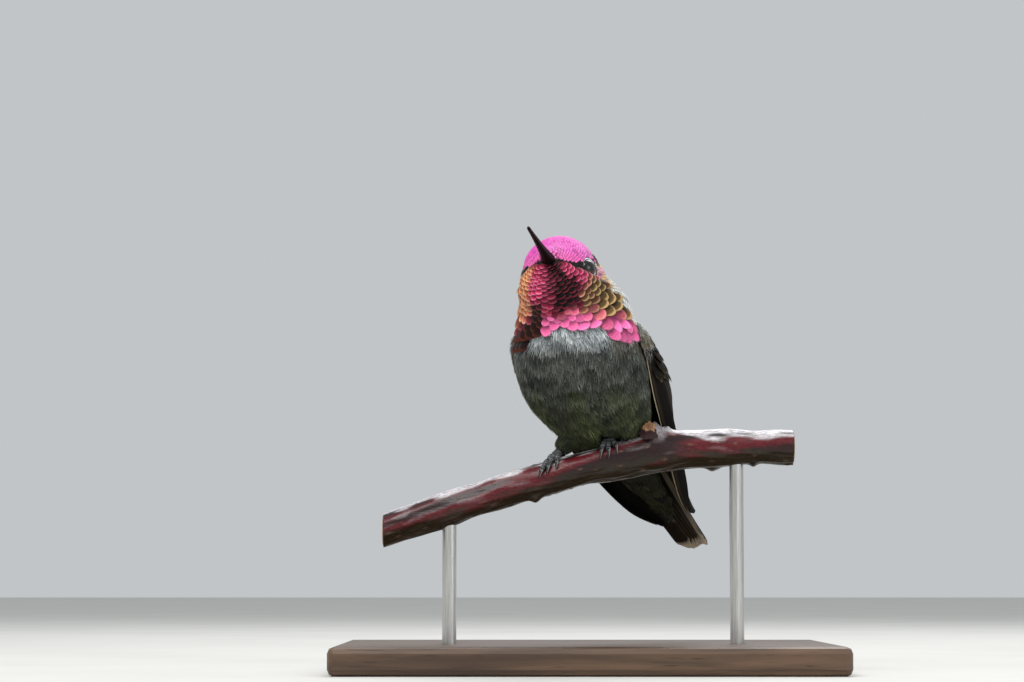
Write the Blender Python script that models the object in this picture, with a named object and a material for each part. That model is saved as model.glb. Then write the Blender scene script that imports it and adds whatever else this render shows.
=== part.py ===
"""A life-size display model of a male Anna's hummingbird on a cut length of branch.

Sizes are in millimetres and angles in degrees. mesh_object() turns the points to metres.
X runs along the branch, the bird looks towards -Y, and Z is up. The model's own origin is
the middle of the stand's underside. Bird and branch are placed from the stance point, which
is on top of the branch between the feet. "Left" and "right" are the bird's own.
"""

import bmesh
import bpy
import numpy as np
from mathutils import Vector

MM = 0.001
GAP = 0.3
FINE_GAP = 0.15

# Driving sizes of the bird
STANCE = np.array([3.0, -6.0, 47.0])
BILL_LENGTH = 18.0
BILL_BASE_WIDTH = 3.8
BILL_BASE_DEPTH = 3.2
BILL_TIP_RADIUS = 0.33
EYE_RADIUS = 2.2
TAIL_LENGTH = 30.0
TAIL_BASE_WIDTH = 6.0
TAIL_TIP_WIDTH = 8.0
RECTRICES = 10

# Posture: yaw turns towards the bird's right (-X), pitch lifts, roll lifts the left side
HEAD_TURN = (19.0, 20.0, 5.0)
BILL_TURN = (16.0, 18.6, 5.0)
TRUNK_TURN = (28.0, 57.0, 0.0)
NECK_TURN = (20.0, 72.0, 0.0)
HEAD_CENTRE = np.array([-8.8, -7.1, 36.6])

# Branch and stand
BRANCH_ENDS = (-46.0, 41.0)
STAND_BASE = (106.0, 78.0, 6.0)
BASE_BEVEL = 1.4
ROD_RADIUS = 1.5
ROD_PLACES = (-32.0, 29.0)

MATERIALS = {
    "crown_feathers": ((0.80, 0.12, 0.45), 0.35, 0.3),
    "gorget_feathers": ((0.55, 0.06, 0.18), 0.35, 0.3),
    "nape_feathers": ((0.25, 0.28, 0.22), 0.6, 0.0),
    "body_feathers": ((0.27, 0.30, 0.27), 0.8, 0.0),
    "flight_feathers": ((0.07, 0.06, 0.06), 0.55, 0.0),
    "bill": ((0.03, 0.025, 0.025), 0.35, 0.0),
    "eye": ((0.02, 0.015, 0.012), 0.05, 0.0),
    "foot": ((0.05, 0.045, 0.045), 0.6, 0.0),
    "claw": ((0.04, 0.035, 0.03), 0.35, 0.0),
    "bark": ((0.30, 0.13, 0.11), 0.45, 0.0),
    "stand_wood": ((0.10, 0.06, 0.04), 0.4, 0.0),
    "stand_metal": ((0.60, 0.57, 0.52), 0.3, 1.0),
}


# ---------------------------------------------------------------- directions and curves


def unit(vector):
    vector = np.asarray(vector, float)
    return vector / np.linalg.norm(vector)


def axes_of(turn):
    """Rows are forward, left and up for a yaw, pitch and roll."""
    yaw, pitch, roll = np.radians(turn)
    ahead = np.array([-np.sin(yaw), -np.cos(yaw), 0.0])
    left = np.array([np.cos(yaw), -np.sin(yaw), 0.0])
    up = np.array([0.0, 0.0, 1.0])
    forward = ahead * np.cos(pitch) + up * np.sin(pitch)
    top = up * np.cos(pitch) - ahead * np.sin(pitch)
    return np.array([
        forward,
        left * np.cos(roll) + top * np.sin(roll),
        top * np.cos(roll) - left * np.sin(roll),
    ])


def axes_along(direction, left_hint):
    """Rows are the direction, the left nearest to left_hint, and the top."""
    forward = unit(direction)
    left = unit(left_hint - forward * np.dot(left_hint, forward))
    return np.array([forward, left, np.cross(forward, left)])


def smooth_curve(points, shares):
    """Catmull-Rom places at shares from 0 to 1 along evenly weighted points."""
    points = np.asarray(points, float)
    padded = np.vstack([2 * points[0] - points[1], points, 2 * points[-1] - points[-2]])
    at = np.clip(np.asarray(shares, float), 0, 1) * (len(points) - 1)
    i = np.minimum(at.astype(int), len(points) - 2)
    t = (at - i)[:, None]
    a, b, c, d = (padded[i + k] for k in range(4))
    return 0.5 * (
        2 * b
        + (c - a) * t
        + (2 * a - 5 * b + 4 * c - d) * t**2
        + (3 * b - a - 3 * c + d) * t**3
    )


def ease(x):
    x = np.clip(x, 0, 1)
    return x * x * (3 - 2 * x)


HEAD = axes_of(HEAD_TURN)
BILL = axes_of(BILL_TURN)
TRUNK = axes_of(TRUNK_TURN)
NECK = axes_of(NECK_TURN)

TAIL_BASE = np.array([10.7, 14.7, -2.5])
TAIL_TIP = np.array([21.9, 27.3, -17.8])
TAIL = axes_along(TAIL_TIP - TAIL_BASE, np.array([0.68, -0.74, 0.03]))
TAIL[2] *= -1  # forward is towards the tip, so its top is the other way round


# ---------------------------------------------------------------- the feathered body

# (centre, axes, radii along those axes), each a rounded mass of the feathered outline
BODY_MASSES = [
    (HEAD_CENTRE + HEAD.T @ [-1.1, -0.3, 2.1], HEAD, (7.2, 7.8, 7.3)),  # crown
    (HEAD_CENTRE + HEAD.T @ [3.7, 0, 0.0], HEAD, (4.6, 3.7, 3.6)),  # face
    (HEAD_CENTRE + HEAD.T @ [0.0, 3.3, -3.4], HEAD, (5.0, 3.7, 4.0)),  # left cheek
    (HEAD_CENTRE + HEAD.T @ [0.0, -3.3, -3.4], HEAD, (5.0, 3.7, 4.0)),  # right cheek
    (HEAD_CENTRE + HEAD.T @ [-3.1, 4.2, -1.4], HEAD, (4.3, 4.3, 4.4)),  # left ear coverts
    (HEAD_CENTRE + HEAD.T @ [-3.1, -4.2, -1.4], HEAD, (4.3, 4.3, 4.4)),  # right ear coverts
    (HEAD_CENTRE + HEAD.T @ [1.4, 0, -5.2], HEAD, (5.6, 5.8, 5.2)),  # throat
    (np.array([-1.8, -1.0, 28.8]), NECK, (7.2, 7.8, 7.0)),  # nape
    (np.array([-5.4, -4.3, 28.3]), NECK, (8.2, 11.2, 9.0)),  # neck
    (np.array([-4.8, -2.2, 21.0]), TRUNK, (11.5, 13.8, 11.4)),  # breast
    (np.array([-3.2, 0.6, 15.8]), TRUNK, (14.1, 14.4, 12.0)),  # trunk
    (np.array([0.9, 4.0, 8.2]), TRUNK, (11.6, 10.2, 9.6)),  # belly
    (np.array([6.8, 11.8, -1.9]), TAIL, (10.0, 5.2, 4.0)),  # rump
    (np.array([12.0, 16.6, -8.8]), TAIL, (8.0, 3.4, 1.5)),  # undertail coverts
]
BODY_SOFTNESS = 1.3
BODY_VOXEL = 0.8
OUTLINE_TRIANGLES = 2340


def body_distance(points):
    """Nearly the distance from the feathered body's outline, below 0 inside it."""
    points = np.atleast_2d(points)
    total = np.zeros(len(points))
    for centre, axes, radii in BODY_MASSES:
        local = (points - centre) @ axes.T
        radii = np.array(radii)
        k0 = np.linalg.norm(local / radii, axis=1)
        k1 = np.maximum(np.linalg.norm(local / radii**2, axis=1), 1e-6)
        total += np.exp(-np.maximum(k0 * (k0 - 1) / k1, -40) / BODY_SOFTNESS)
    return -BODY_SOFTNESS * np.log(np.maximum(total, 1e-30))


def outward(points):
    """The outline's gradient at these points."""
    step = 0.02
    moves = np.eye(3) * step
    return np.stack(
        [(body_distance(points + m) - body_distance(points - m)) / (2 * step) for m in moves],
        axis=1,
    )


def at_distance(points, wanted, rounds=5):
    """The points moved along the outline's gradient until they are wanted mm off it."""
    points = np.array(points, float)
    for _ in range(rounds):
        gradient = outward(points)
        size = np.maximum((gradient**2).sum(axis=1), 0.05)
        points += gradient * ((wanted - body_distance(points)) / size)[:, None]
    return points


# ---------------------------------------------------------------- Blender helpers


def clear_scene():
    for obj in list(bpy.data.objects):
        bpy.data.objects.remove(obj)


def material_of(name):
    material = bpy.data.materials.get(name)
    if material is None:
        material = bpy.data.materials.new(name)
        material.use_nodes = True
        colour, roughness, metallic = MATERIALS[name]
        shader = material.node_tree.nodes["Principled BSDF"]
        shader.inputs["Base Color"].default_value = (*colour, 1)
        shader.inputs["Roughness"].default_value = roughness
        shader.inputs["Metallic"].default_value = metallic
        material.diffuse_color = (*colour, 1)
    return material


def add_object(name, mesh, finish=None):
    obj = bpy.data.objects.new(name, mesh)
    bpy.context.scene.collection.objects.link(obj)
    if finish:
        mesh.materials.clear()
        mesh.materials.append(material_of(finish))
        mesh.shade_smooth()
        mesh.set_sharp_from_angle(angle=np.radians(40))
    return obj


def mesh_object(name, points, faces, finish=None):
    """An object from points in mm about the stance, with its faces turned outwards."""
    mesh = bpy.data.meshes.new(name)
    mesh.from_pydata(((np.asarray(points) + STANCE) * MM).tolist(), [], faces)
    work = bmesh.new()
    work.from_mesh(mesh)
    bmesh.ops.recalc_face_normals(work, faces=work.faces)
    work.to_mesh(mesh)
    work.free()
    return add_object(name, mesh, finish)


def helper(obj):
    obj.hide_render = True
    obj.display_type = "WIRE"
    return obj


def points_of(mesh):
    found = np.empty(len(mesh.vertices) * 3, np.float32)
    mesh.vertices.foreach_get("co", found)
    return found.reshape(-1, 3) / MM - STANCE


def set_points(mesh, points):
    mesh.vertices.foreach_set("co", ((points + STANCE) * MM).astype(np.float32).ravel())
    mesh.update()


def applied(obj):
    """Replaces the object's mesh by its evaluated one, and drops the modifiers."""
    bpy.context.view_layer.update()
    graph = bpy.context.evaluated_depsgraph_get()
    mesh = bpy.data.meshes.new_from_object(obj.evaluated_get(graph), depsgraph=graph)
    obj.modifiers.clear()
    obj.data = mesh
    return obj


def cut(obj, cutter, operation="DIFFERENCE"):
    modifier = obj.modifiers.new("cut", "BOOLEAN")
    modifier.operation = operation
    modifier.object = cutter
    return applied(obj)


def thinned(obj, triangles):
    """Collapses edges until about that many triangles are left."""
    obj.data.calc_loop_triangles()
    modifier = obj.modifiers.new("thin", "DECIMATE")
    modifier.ratio = min(1.0, triangles / len(obj.data.loop_triangles))
    return applied(obj)


def rings_to_faces(rings, around, closed_ends=True):
    """Quads between rings of points, with the two end rings filled."""
    faces = [
        (r * around + i, r * around + (i + 1) % around,
         (r + 1) * around + (i + 1) % around, (r + 1) * around + i)
        for r in range(rings - 1)
        for i in range(around)
    ]
    if closed_ends:
        faces.append(tuple(range(around)))
        faces.append(tuple((rings - 1) * around + i for i in range(around)))
    return faces


def tube(name, path, radii, around, finish=None, flatten=1.0, top=(0.0, 0.0, 1.0)):
    """A round bar along a path, with a radius at each of its points."""
    path = np.asarray(path, float)
    along = np.gradient(path, axis=0)
    angles = np.linspace(0, 2 * np.pi, around, endpoint=False)
    rings = []
    for place, direction, radius in zip(path, along, radii):
        forward = unit(direction)
        side = unit(np.cross(forward, top))
        over = np.cross(side, forward)
        rings.append(
            place
            + radius * (np.outer(np.cos(angles), side) + flatten * np.outer(np.sin(angles), over))
        )
    return mesh_object(name, np.vstack(rings), rings_to_faces(len(path), around), finish)


def shell(name, outer, inner, finish):
    """A closed plate from two grids of points of the same shape."""
    rows, columns = outer.shape[:2]
    size = rows * columns

    def number(layer, r, c):
        return layer * size + r * columns + c

    faces = []
    for r in range(rows - 1):
        for c in range(columns - 1):
            corners = ((r, c), (r, c + 1), (r + 1, c + 1), (r + 1, c))
            faces.append([number(0, *k) for k in corners])
            faces.append([number(1, *k) for k in reversed(corners)])
    rim = (
        [(0, c) for c in range(columns)]
        + [(r, columns - 1) for r in range(1, rows)]
        + [(rows - 1, c) for c in range(columns - 2, -1, -1)]
        + [(r, 0) for r in range(rows - 2, 0, -1)]
    )
    for a, b in zip(rim, rim[1:] + rim[:1]):
        faces.append([number(0, *b), number(0, *a), number(1, *a), number(1, *b)])
    points = np.vstack([outer.reshape(-1, 3), inner.reshape(-1, 3)])
    return mesh_object(name, points, faces, finish)


# ---------------------------------------------------------------- branch and stand

# Heights of the branch's centre line, and its radii, at places along X
BRANCH_X = (-46.0, -29.0, -15.4, -1.9, 11.7, 18.5, 32.1, 41.0)
BRANCH_Z = (-17.0, -11.4, -7.2, -3.5, -0.7, 0.1, 0.6, 0.5)
BRANCH_R = (3.65, 3.8, 3.75, 3.75, 4.2, 4.1, 3.7, 3.6)
# (place along X, angle from the top towards -Y, height, half length, half angle)
BRANCH_BUMPS = (
    (11.3, 24, 2.3, 1.7, 26),
    (13.6, 10, 0.9, 1.8, 30),
    (11.5, 60, 0.7, 4.5, 60),
    (-13.6, 165, 0.9, 1.1, 20),
    (32.6, 172, 0.7, 0.9, 18),
    (-36.0, -70, 1.2, 1.4, 24),
    (24.0, 205, 1.0, 1.3, 24),
)
BRANCH_RING = 12


def branch_centre(x):
    x = np.asarray(x, float)
    share = (x - BRANCH_X[0]) / (BRANCH_X[-1] - BRANCH_X[0])
    wander = 0.7 * np.sin(x / 11.0)
    line = np.interp(np.linspace(BRANCH_X[0], BRANCH_X[-1], 24), BRANCH_X, BRANCH_Z)
    height = smooth_curve(line[:, None], np.atleast_1d(share))[:, 0]
    return np.stack([np.atleast_1d(x), np.atleast_1d(wander), height], axis=1)


def branch_radius(x, angle):
    """The bark's distance from the centre line, at an angle in degrees from the top towards -Y."""
    radius = np.interp(x, BRANCH_X, BRANCH_R)
    radius = radius + 0.12 * np.sin(x / 3.1 + np.radians(angle) * 2) + 0.08 * np.sin(x / 1.9)
    for place, towards, height, length, spread in BRANCH_BUMPS:
        turn = (angle - towards + 180) % 360 - 180
        radius = radius + height * np.exp(-(((x - place) / length) ** 2) - (turn / spread) ** 2)
    return radius


def branch_point(x, angle, off=0.0):
    """Points off mm above the bark."""
    x, angle = np.broadcast_arrays(np.asarray(x, float), np.asarray(angle, float))
    reach = branch_radius(x, angle) + off
    turn = np.radians(angle)
    around = np.stack([np.zeros_like(x), -np.sin(turn), np.cos(turn)], axis=-1)
    return branch_centre(x.ravel()).reshape(*x.shape, 3) + around * reach[..., None]


def branch_stations():
    """Places of the branch's rings, closer together at the knot."""
    low, high = BRANCH_ENDS
    even = np.linspace(low, high, 27)
    knot = np.linspace(8.2, 16.0, 9)
    outside = even[(even < knot[0] - 0.8) | (even > knot[-1] + 0.8)]
    return np.sort(np.concatenate([outside, knot]))


def build_branch():
    x = branch_stations()
    angles = np.arange(BRANCH_RING) * 360.0 / BRANCH_RING
    grid = branch_point(x[:, None], angles[None, :])
    faces = rings_to_faces(len(x), BRANCH_RING)
    branch = mesh_object("perch_branch", grid.reshape(-1, 3), faces, "bark")
    for place in ROD_PLACES:
        socket = cylinder("rod_hole", rod_foot(place), rod_end(place) + GAP, ROD_RADIUS + GAP, 24)
        cut(branch, helper(socket))
    return branch


def cylinder(name, low, high, radius, around, finish=None):
    """An upright cylinder above the point low, up to the height high."""
    angles = np.linspace(0, 2 * np.pi, around, endpoint=False)
    ring = np.stack([np.cos(angles), np.sin(angles), np.zeros(around)], axis=1) * radius
    top = np.array([low[0], low[1], high])
    points = np.vstack([ring + low, ring + top])
    return mesh_object(name, points, rings_to_faces(2, around), finish)


FLOOR = -STANCE[2]
SOCKET_FLOOR = FLOOR + 2.0


def rod_foot(place):
    """Where a rod's axis meets the bottom of its socket in the base."""
    centre = branch_centre(place)[0]
    return np.array([centre[0], centre[1], SOCKET_FLOOR])


def rod_end(place):
    return branch_centre(place)[0][2] - 1.4


def build_stand():
    width, depth, height = STAND_BASE
    x0, y0 = -STANCE[0], -STANCE[1]
    corners = [
        (x0 + sx * width / 2, y0 + sy * depth / 2, FLOOR + z)
        for z in (0, height)
        for sx, sy in ((-1, -1), (1, -1), (1, 1), (-1, 1))
    ]
    base = mesh_object("stand_base", corners, rings_to_faces(2, 4), "stand_wood")
    bevel = base.modifiers.new("edges", "BEVEL")
    bevel.width = BASE_BEVEL * MM
    bevel.segments = 2
    applied(base)
    for side, place in zip(("right", "left"), ROD_PLACES):
        foot = rod_foot(place)
        socket = cylinder("socket", foot, FLOOR + height + 5, ROD_RADIUS + GAP, 24)
        cut(base, helper(socket))
        low = foot + [0, 0, GAP]
        cylinder(f"stand_rod_{side}", low, rod_end(place), ROD_RADIUS, 20, "stand_metal")


# ---------------------------------------------------------------- body, head and bill


def rounded_union(name, masses, voxel):
    """One closed mesh round all the masses, drawn on to the outline that blends them."""
    work = bmesh.new()
    for centre, axes, radii in masses:
        made = bmesh.ops.create_icosphere(work, subdivisions=4, radius=1.0)
        for vertex in made["verts"]:
            place = centre + (np.array(vertex.co) * radii) @ axes
            vertex.co = Vector(((place + STANCE) * MM).tolist())
    mesh = bpy.data.meshes.new(name)
    work.to_mesh(mesh)
    work.free()
    obj = add_object(name, mesh)
    remesh = obj.modifiers.new("blend", "REMESH")
    remesh.mode = "VOXEL"
    remesh.voxel_size = voxel * MM
    applied(obj)
    set_points(obj.data, at_distance(points_of(obj.data), 0.0))
    return obj


def copy_of(obj, name):
    return add_object(name, obj.data.copy())


def ball(name, centre, radius, finish=None, rings=9, around=14):
    work = bmesh.new()
    bmesh.ops.create_uvsphere(work, u_segments=around, v_segments=rings, radius=radius * MM)
    mesh = bpy.data.meshes.new(name)
    work.to_mesh(mesh)
    work.free()
    set_points(mesh, points_of(mesh) + STANCE + centre)
    return add_object(name, mesh, finish)


def keep_beyond(obj, point, normal):
    """Cuts the solid by a plane, keeps what lies along the normal, and closes it."""
    work = bmesh.new()
    work.from_mesh(obj.data)
    everything = work.verts[:] + work.edges[:] + work.faces[:]
    bmesh.ops.bisect_plane(
        work,
        geom=everything,
        plane_co=Vector(((np.asarray(point) + STANCE) * MM).tolist()),
        plane_no=Vector(unit(normal).tolist()),
        clear_inner=True,
        dist=1e-7,
    )
    open_edges = [edge for edge in work.edges if edge.is_boundary]
    bmesh.ops.holes_fill(work, edges=open_edges, sides=0)
    bmesh.ops.recalc_face_normals(work, faces=work.faces)
    work.to_mesh(obj.data)
    work.free()
    return obj


# Each eye's centre, and the way its opening faces
EYES = {
    "left": (HEAD_CENTRE + HEAD.T @ [0.7, 5.95, 0.35], unit(HEAD.T @ [0.36, 0.93, 0.06])),
    "right": (HEAD_CENTRE + HEAD.T @ [0.7, -5.95, 0.35], unit(HEAD.T @ [0.36, -0.93, 0.06])),
}
LID_DISH = (3.1, 2.65)  # distance out from the eye's centre, and radius

# Cuts between the body's parts: a point on each, and the normal to the part named first
CHIN = (HEAD_CENTRE + HEAD.T @ [5.0, 0, -3.1], unit(HEAD.T @ [0.2, 0, 1.0]))
COLLAR = (np.array([-5.6, -3.0, 23.6]), unit([-0.10, 0.10, 1.0]))
THROAT_BACK = (np.array([-4.2, 1.2, 30.0]), unit([-0.33, -1.0, -0.05]))
VENT = (np.array([5.2, 11.0, -0.4]), unit([0.42, 0.52, -0.74]))


def part_of(whole, name, cuts, finish):
    """The piece of the whole on the kept side of each cut, half a gap away from it."""
    piece = copy_of(whole, name)
    for (point, normal), side in cuts:
        keep_beyond(piece, point + normal * side * GAP / 2, normal * side)
    piece.data.materials.clear()
    piece.data.materials.append(material_of(finish))
    piece.data.shade_smooth()
    piece.data.set_sharp_from_angle(angle=np.radians(50))
    return piece


def build_body(feet_room):
    whole = rounded_union("body_outline", BODY_MASSES, BODY_VOXEL)
    thinned(whole, OUTLINE_TRIANGLES)
    set_points(whole.data, at_distance(points_of(whole.data), 0.0, rounds=3))
    head = part_of(whole, "head", [(CHIN, 1)], "crown_feathers")
    part_of(whole, "gorget", [(CHIN, -1), (COLLAR, 1), (THROAT_BACK, 1)], "gorget_feathers")
    part_of(whole, "neck", [(CHIN, -1), (COLLAR, 1), (THROAT_BACK, -1)], "nape_feathers")
    trunk = part_of(whole, "trunk", [(COLLAR, -1), (VENT, -1)], "body_feathers")
    rump = part_of(whole, "rump", [(VENT, 1)], "body_feathers")
    for room in feet_room:
        cut(trunk, room)
    away, dish = LID_DISH
    for side, (place, facing) in EYES.items():
        cut(head, helper(ball(f"socket_{side}", place, EYE_RADIUS + FINE_GAP)))
        cut(head, helper(ball(f"lids_{side}", place + facing * away, dish)))
        ball(f"eye_{side}", place, EYE_RADIUS, "eye")
    helper(whole)
    return trunk, rump


BILL_ROOT = HEAD_CENTRE + HEAD.T @ [6.3, 0, -0.2]
BILL_HIDDEN = 2.0
BILL_RINGS = 15
BILL_DROOP = 0.25


def bill_section(share, upper):
    """Half a rounded section of the bill at a share of its length, flat where the halves meet."""
    taper = 1 - share
    wide = BILL_BASE_WIDTH / 2 - BILL_TIP_RADIUS
    deep = BILL_BASE_DEPTH / 2 - BILL_TIP_RADIUS
    half_width = BILL_TIP_RADIUS + wide * (0.55 * taper**1.3 + 0.45 * taper**6)
    depth = BILL_TIP_RADIUS + deep * (0.7 * taper**1.4 + 0.3 * taper**6)
    depth *= 1.15 if upper else 0.85
    turns = np.radians(np.linspace(0, 180, 8))
    across = half_width * np.cos(turns)
    height = FINE_GAP / 2 + depth * np.sin(turns) ** 0.9
    return across, height if upper else -height


def build_bill(collar):
    for name, upper, length in (("bill_upper", True, 1.0), ("bill_lower", False, 0.985)):
        points = []
        for share in np.linspace(0, length, BILL_RINGS):
            across, height = bill_section(share, upper)
            total = BILL_LENGTH + BILL_HIDDEN
            droop = -BILL_DROOP * share**2
            spine = BILL_ROOT + BILL[0] * (share * total - BILL_HIDDEN) + BILL[2] * droop
            points.append(spine + np.outer(across, BILL[1]) + np.outer(height, BILL[2]))
        faces = rings_to_faces(BILL_RINGS, 8)
        cut(mesh_object(name, np.vstack(points), faces, "bill"), collar)


# ---------------------------------------------------------------- wings and tail

# The folded wing's front edge, outer ridge and rear edge, from the shoulder to the tip
WING_LINES = {
    "left": (
        [(4.7, -5.9, 26.5), (7.9, -7.2, 20.9), (11.0, -3.0, 13.0), (13.4, 3.0, 5.5),
         (16.2, 10.4, -4.9), (18.8, 17.0, -12.0), (21.6, 21.6, -13.1)],
        [(4.2, 0.6, 27.7), (10.3, 0.3, 22.0), (14.3, 3.0, 13.2), (15.8, 7.0, 5.0),
         (17.8, 13.0, -4.0), (20.2, 18.3, -10.3), (21.6, 21.7, -12.9)],
        [(4.4, 5.5, 30.0), (7.0, 7.8, 24.0), (7.6, 11.0, 14.0), (9.6, 13.0, 6.4),
         (12.6, 15.4, -0.8), (17.6, 20.2, -8.2), (21.5, 21.8, -12.7)],
    ),
    "right": (
        [(-15.4, 2.4, 27.6), (-18.4, 4.2, 21.6), (-15.2, 9.2, 13.4), (-8.6, 13.4, 4.0),
         (2.2, 18.2, -8.7), (9.4, 22.4, -14.1), (15.8, 25.2, -16.2)],
        [(-13.0, 8.6, 28.4), (-14.8, 11.2, 21.8), (-12.0, 15.0, 13.4), (-4.4, 17.6, 4.0),
         (4.6, 21.2, -6.8), (10.6, 24.2, -12.3), (15.9, 25.4, -16.0)],
        [(-5.0, 11.4, 29.4), (-3.6, 13.4, 23.6), (-0.2, 15.0, 13.8), (3.6, 16.6, 6.4),
         (10.8, 18.8, -1.4), (11.7, 23.6, -10.6), (16.0, 25.6, -15.8)],
    ),
}
TRUNK_CORE = np.array([1.4, 6.6, 9.6])
WING_ROWS = 22
WING_COLUMNS = 6
PRIMARY_TIPS = 9


def wing_grid(side, along, across):
    """Points of the wing's middle surface, at shares from shoulder to tip and front to rear."""
    front, ridge, rear = (smooth_curve(line, along) for line in WING_LINES[side])
    t = across[..., None]
    middle = 2 * ridge - (front + rear) / 2
    front, middle, rear = (line[:, None, :] for line in (front, middle, rear))
    return front * (1 - t) ** 2 + middle * 2 * t * (1 - t) + rear * t**2


def build_wing(side):
    along = np.linspace(0, 1, WING_ROWS)
    steps = (along * PRIMARY_TIPS) % 1
    notch = 1 - 0.07 * steps * ease((along - 0.35) / 0.2) * ease((1 - along) / 0.1)
    across = np.linspace(0, 1, WING_COLUMNS)[None, :] * notch[:, None]
    middle = wing_grid(side, along, across)
    shape = middle.shape
    flat = middle.reshape(-1, 3)
    over = np.gradient(middle, axis=0)
    beside = np.gradient(middle, axis=1)
    normals = np.cross(over, beside).reshape(-1, 3)
    normals /= np.maximum(np.linalg.norm(normals, axis=1, keepdims=True), 1e-6)
    away = flat - (TRUNK_CORE)
    normals *= np.sign((normals * away).sum(axis=1, keepdims=True).mean())
    plump = np.sin(np.pi * np.clip(across, 0.06, 0.94)) ** 0.6
    bulk = ease(along / 0.12) * (1 - ease(along / 0.75))
    thick = (0.34 + 0.75 * bulk)[:, None] * (0.45 + 0.55 * plump)
    thick = np.maximum(thick, 0.28).reshape(-1, 1)
    outer = flat + normals * thick
    inner = flat - normals * thick
    outer = kept_off(outer, GAP + 0.75)
    inner = kept_off(inner, GAP)
    return shell(f"wing_{side}", outer.reshape(shape), inner.reshape(shape), "flight_feathers")


def kept_off(points, clearance):
    """Moves outwards those points that are nearer to the body than the clearance."""
    near = body_distance(points) < clearance
    points = points.copy()
    if near.any():
        points[near] = at_distance(points[near], clearance)
    return points


TAIL_ROWS = 7
TAIL_COLUMNS = 21
TAIL_THICKNESS = 0.8
TAIL_HIDDEN = 5.0


def build_tail(collar):
    """A folded fan of tail feathers, each with a rounded tip, the middle ones on top."""
    across = np.linspace(-1, 1, TAIL_COLUMNS)
    feather = (across + 1) / 2 * RECTRICES
    tip_round = np.abs((feather % 1) - 0.5) * 2
    fork = 0.4 * np.abs(across) ** 1.5 - 1.9 * np.abs(across) ** 6
    reach = TAIL_LENGTH - TAIL_HIDDEN + fork - 0.55 * tip_round**2
    grid = np.zeros((TAIL_ROWS, TAIL_COLUMNS, 3))
    for row, share in enumerate(np.linspace(0, 1, TAIL_ROWS)):
        half = (TAIL_BASE_WIDTH + (TAIL_TIP_WIDTH - TAIL_BASE_WIDTH) * share**0.8) / 2
        arch = -0.9 * across**2
        grid[row] = (
            TAIL_BASE
            + np.outer(reach * share, TAIL[0])
            + np.outer(across * half, TAIL[1])
            + np.outer(arch, TAIL[2])
        )
    half_thick = TAIL_THICKNESS / 2 * TAIL[2]
    tail = shell("tail", grid + half_thick, grid - half_thick, "flight_feathers")
    return cut(tail, collar)


# ---------------------------------------------------------------- legs and feet

FOOT_PLACES = {"right": -8.8, "left": 1.7}
# For each toe: how far it drifts along X, the angle it reaches, and whether it is in front
TOES = {
    "right": (("inner", -0.5, 40.0, 1), ("middle", -2.2, 48.0, 1), ("outer", -3.6, 54.0, 1),
              ("rear", 1.6, 58.0, -1)),
    "left": (("inner", -1.5, 44.0, 1), ("middle", 0.0, 48.0, 1), ("outer", 1.5, 40.0, 1),
             ("rear", 0.4, 58.0, -1)),
}
TOE_RADIUS = (0.58, 0.44)
TOE_START = 6.0
CLAW_SWEEP = 15.0
ANKLE_RADIUS = 0.95
LEG_RADIUS = (0.6, 0.85)
LEG_LEAN = {"right": np.array([1.6, 2.0, 3.0]), "left": np.array([0.2, 1.6, 3.6])}
FOOT_VOXEL = 0.18
FOOT_ROOM = (1.7, 2.3, 2.4, 2.7)


def toe_path(place, drift, reach, way, count, start, off):
    """Points over the bark, off mm above it, from the start angle to the reach angle."""
    share = np.linspace(0, 1, count)
    angle = way * (start + (reach - start) * share)
    x = place + drift * (0.2 + 0.8 * share)
    return branch_point(x, angle, off)


def ankle_of(place):
    return branch_point(place, -4.0, ANKLE_RADIUS + GAP)


def build_foot(side, place):
    pieces = [ball("ankle", ankle_of(place), ANKLE_RADIUS)]
    for name, drift, reach, way in TOES[side]:
        path = toe_path(place, drift, reach, way, 12, TOE_START, GAP)
        radii = np.linspace(*TOE_RADIUS, 12) * (1 + 0.10 * np.cos(np.linspace(0, 6 * np.pi, 12)))
        lift = path - branch_centre(path[:, 0])
        path = path + lift / np.linalg.norm(lift, axis=1, keepdims=True) * radii[:, None]
        path = np.vstack([ankle_of(place), path])
        pieces.append(tube("toe", path, np.append(TOE_RADIUS[0], radii), 10, top=(1, 0, 0)))
        build_claw(f"claw_{side}_{name}", place, drift, reach, way)
    foot = joined(f"foot_{side}", pieces)
    remesh = foot.modifiers.new("blend", "REMESH")
    remesh.mode = "VOXEL"
    remesh.voxel_size = FOOT_VOXEL * MM
    applied(foot)
    thinned(foot, 300)
    foot.data.materials.clear()
    foot.data.materials.append(material_of("foot"))
    foot.data.shade_smooth()
    return foot


def joined(name, pieces):
    work = bmesh.new()
    for piece in pieces:
        work.from_mesh(piece.data)
        bpy.data.objects.remove(piece)
    mesh = bpy.data.meshes.new(name)
    work.to_mesh(mesh)
    work.free()
    return add_object(name, mesh)


def build_claw(name, place, drift, reach, way):
    """A hooked claw that carries on from the toe's end and comes down on the bark."""
    share = np.linspace(0, 1, 6)
    start = reach + 13.0
    angle = way * (start + CLAW_SWEEP * share)
    off = GAP + 0.32 + 0.35 * np.sin(np.pi * share) - 0.12 * share
    path = branch_point(place + drift * (1.0 + 0.2 * share), angle, off)
    radii = 0.31 - 0.16 * share**1.3
    tube(name, path, radii, 6, "claw", top=(1, 0, 0))


def leg_path(side, place, more=0.0):
    """The shank's centre line, from the foot up into the belly's feathers."""
    low = ankle_of(place) + np.array([0.0, 0.3, ANKLE_RADIUS + FINE_GAP])
    lean = LEG_LEAN[side]
    share = np.linspace(0, 1 + more / np.linalg.norm(lean), 5)[:, None]
    return low + lean * share


def build_leg(side, place):
    tube(f"leg_{side}", leg_path(side, place), np.linspace(*LEG_RADIUS, 5), 10, "foot", top=(1, 0, 0))


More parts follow.
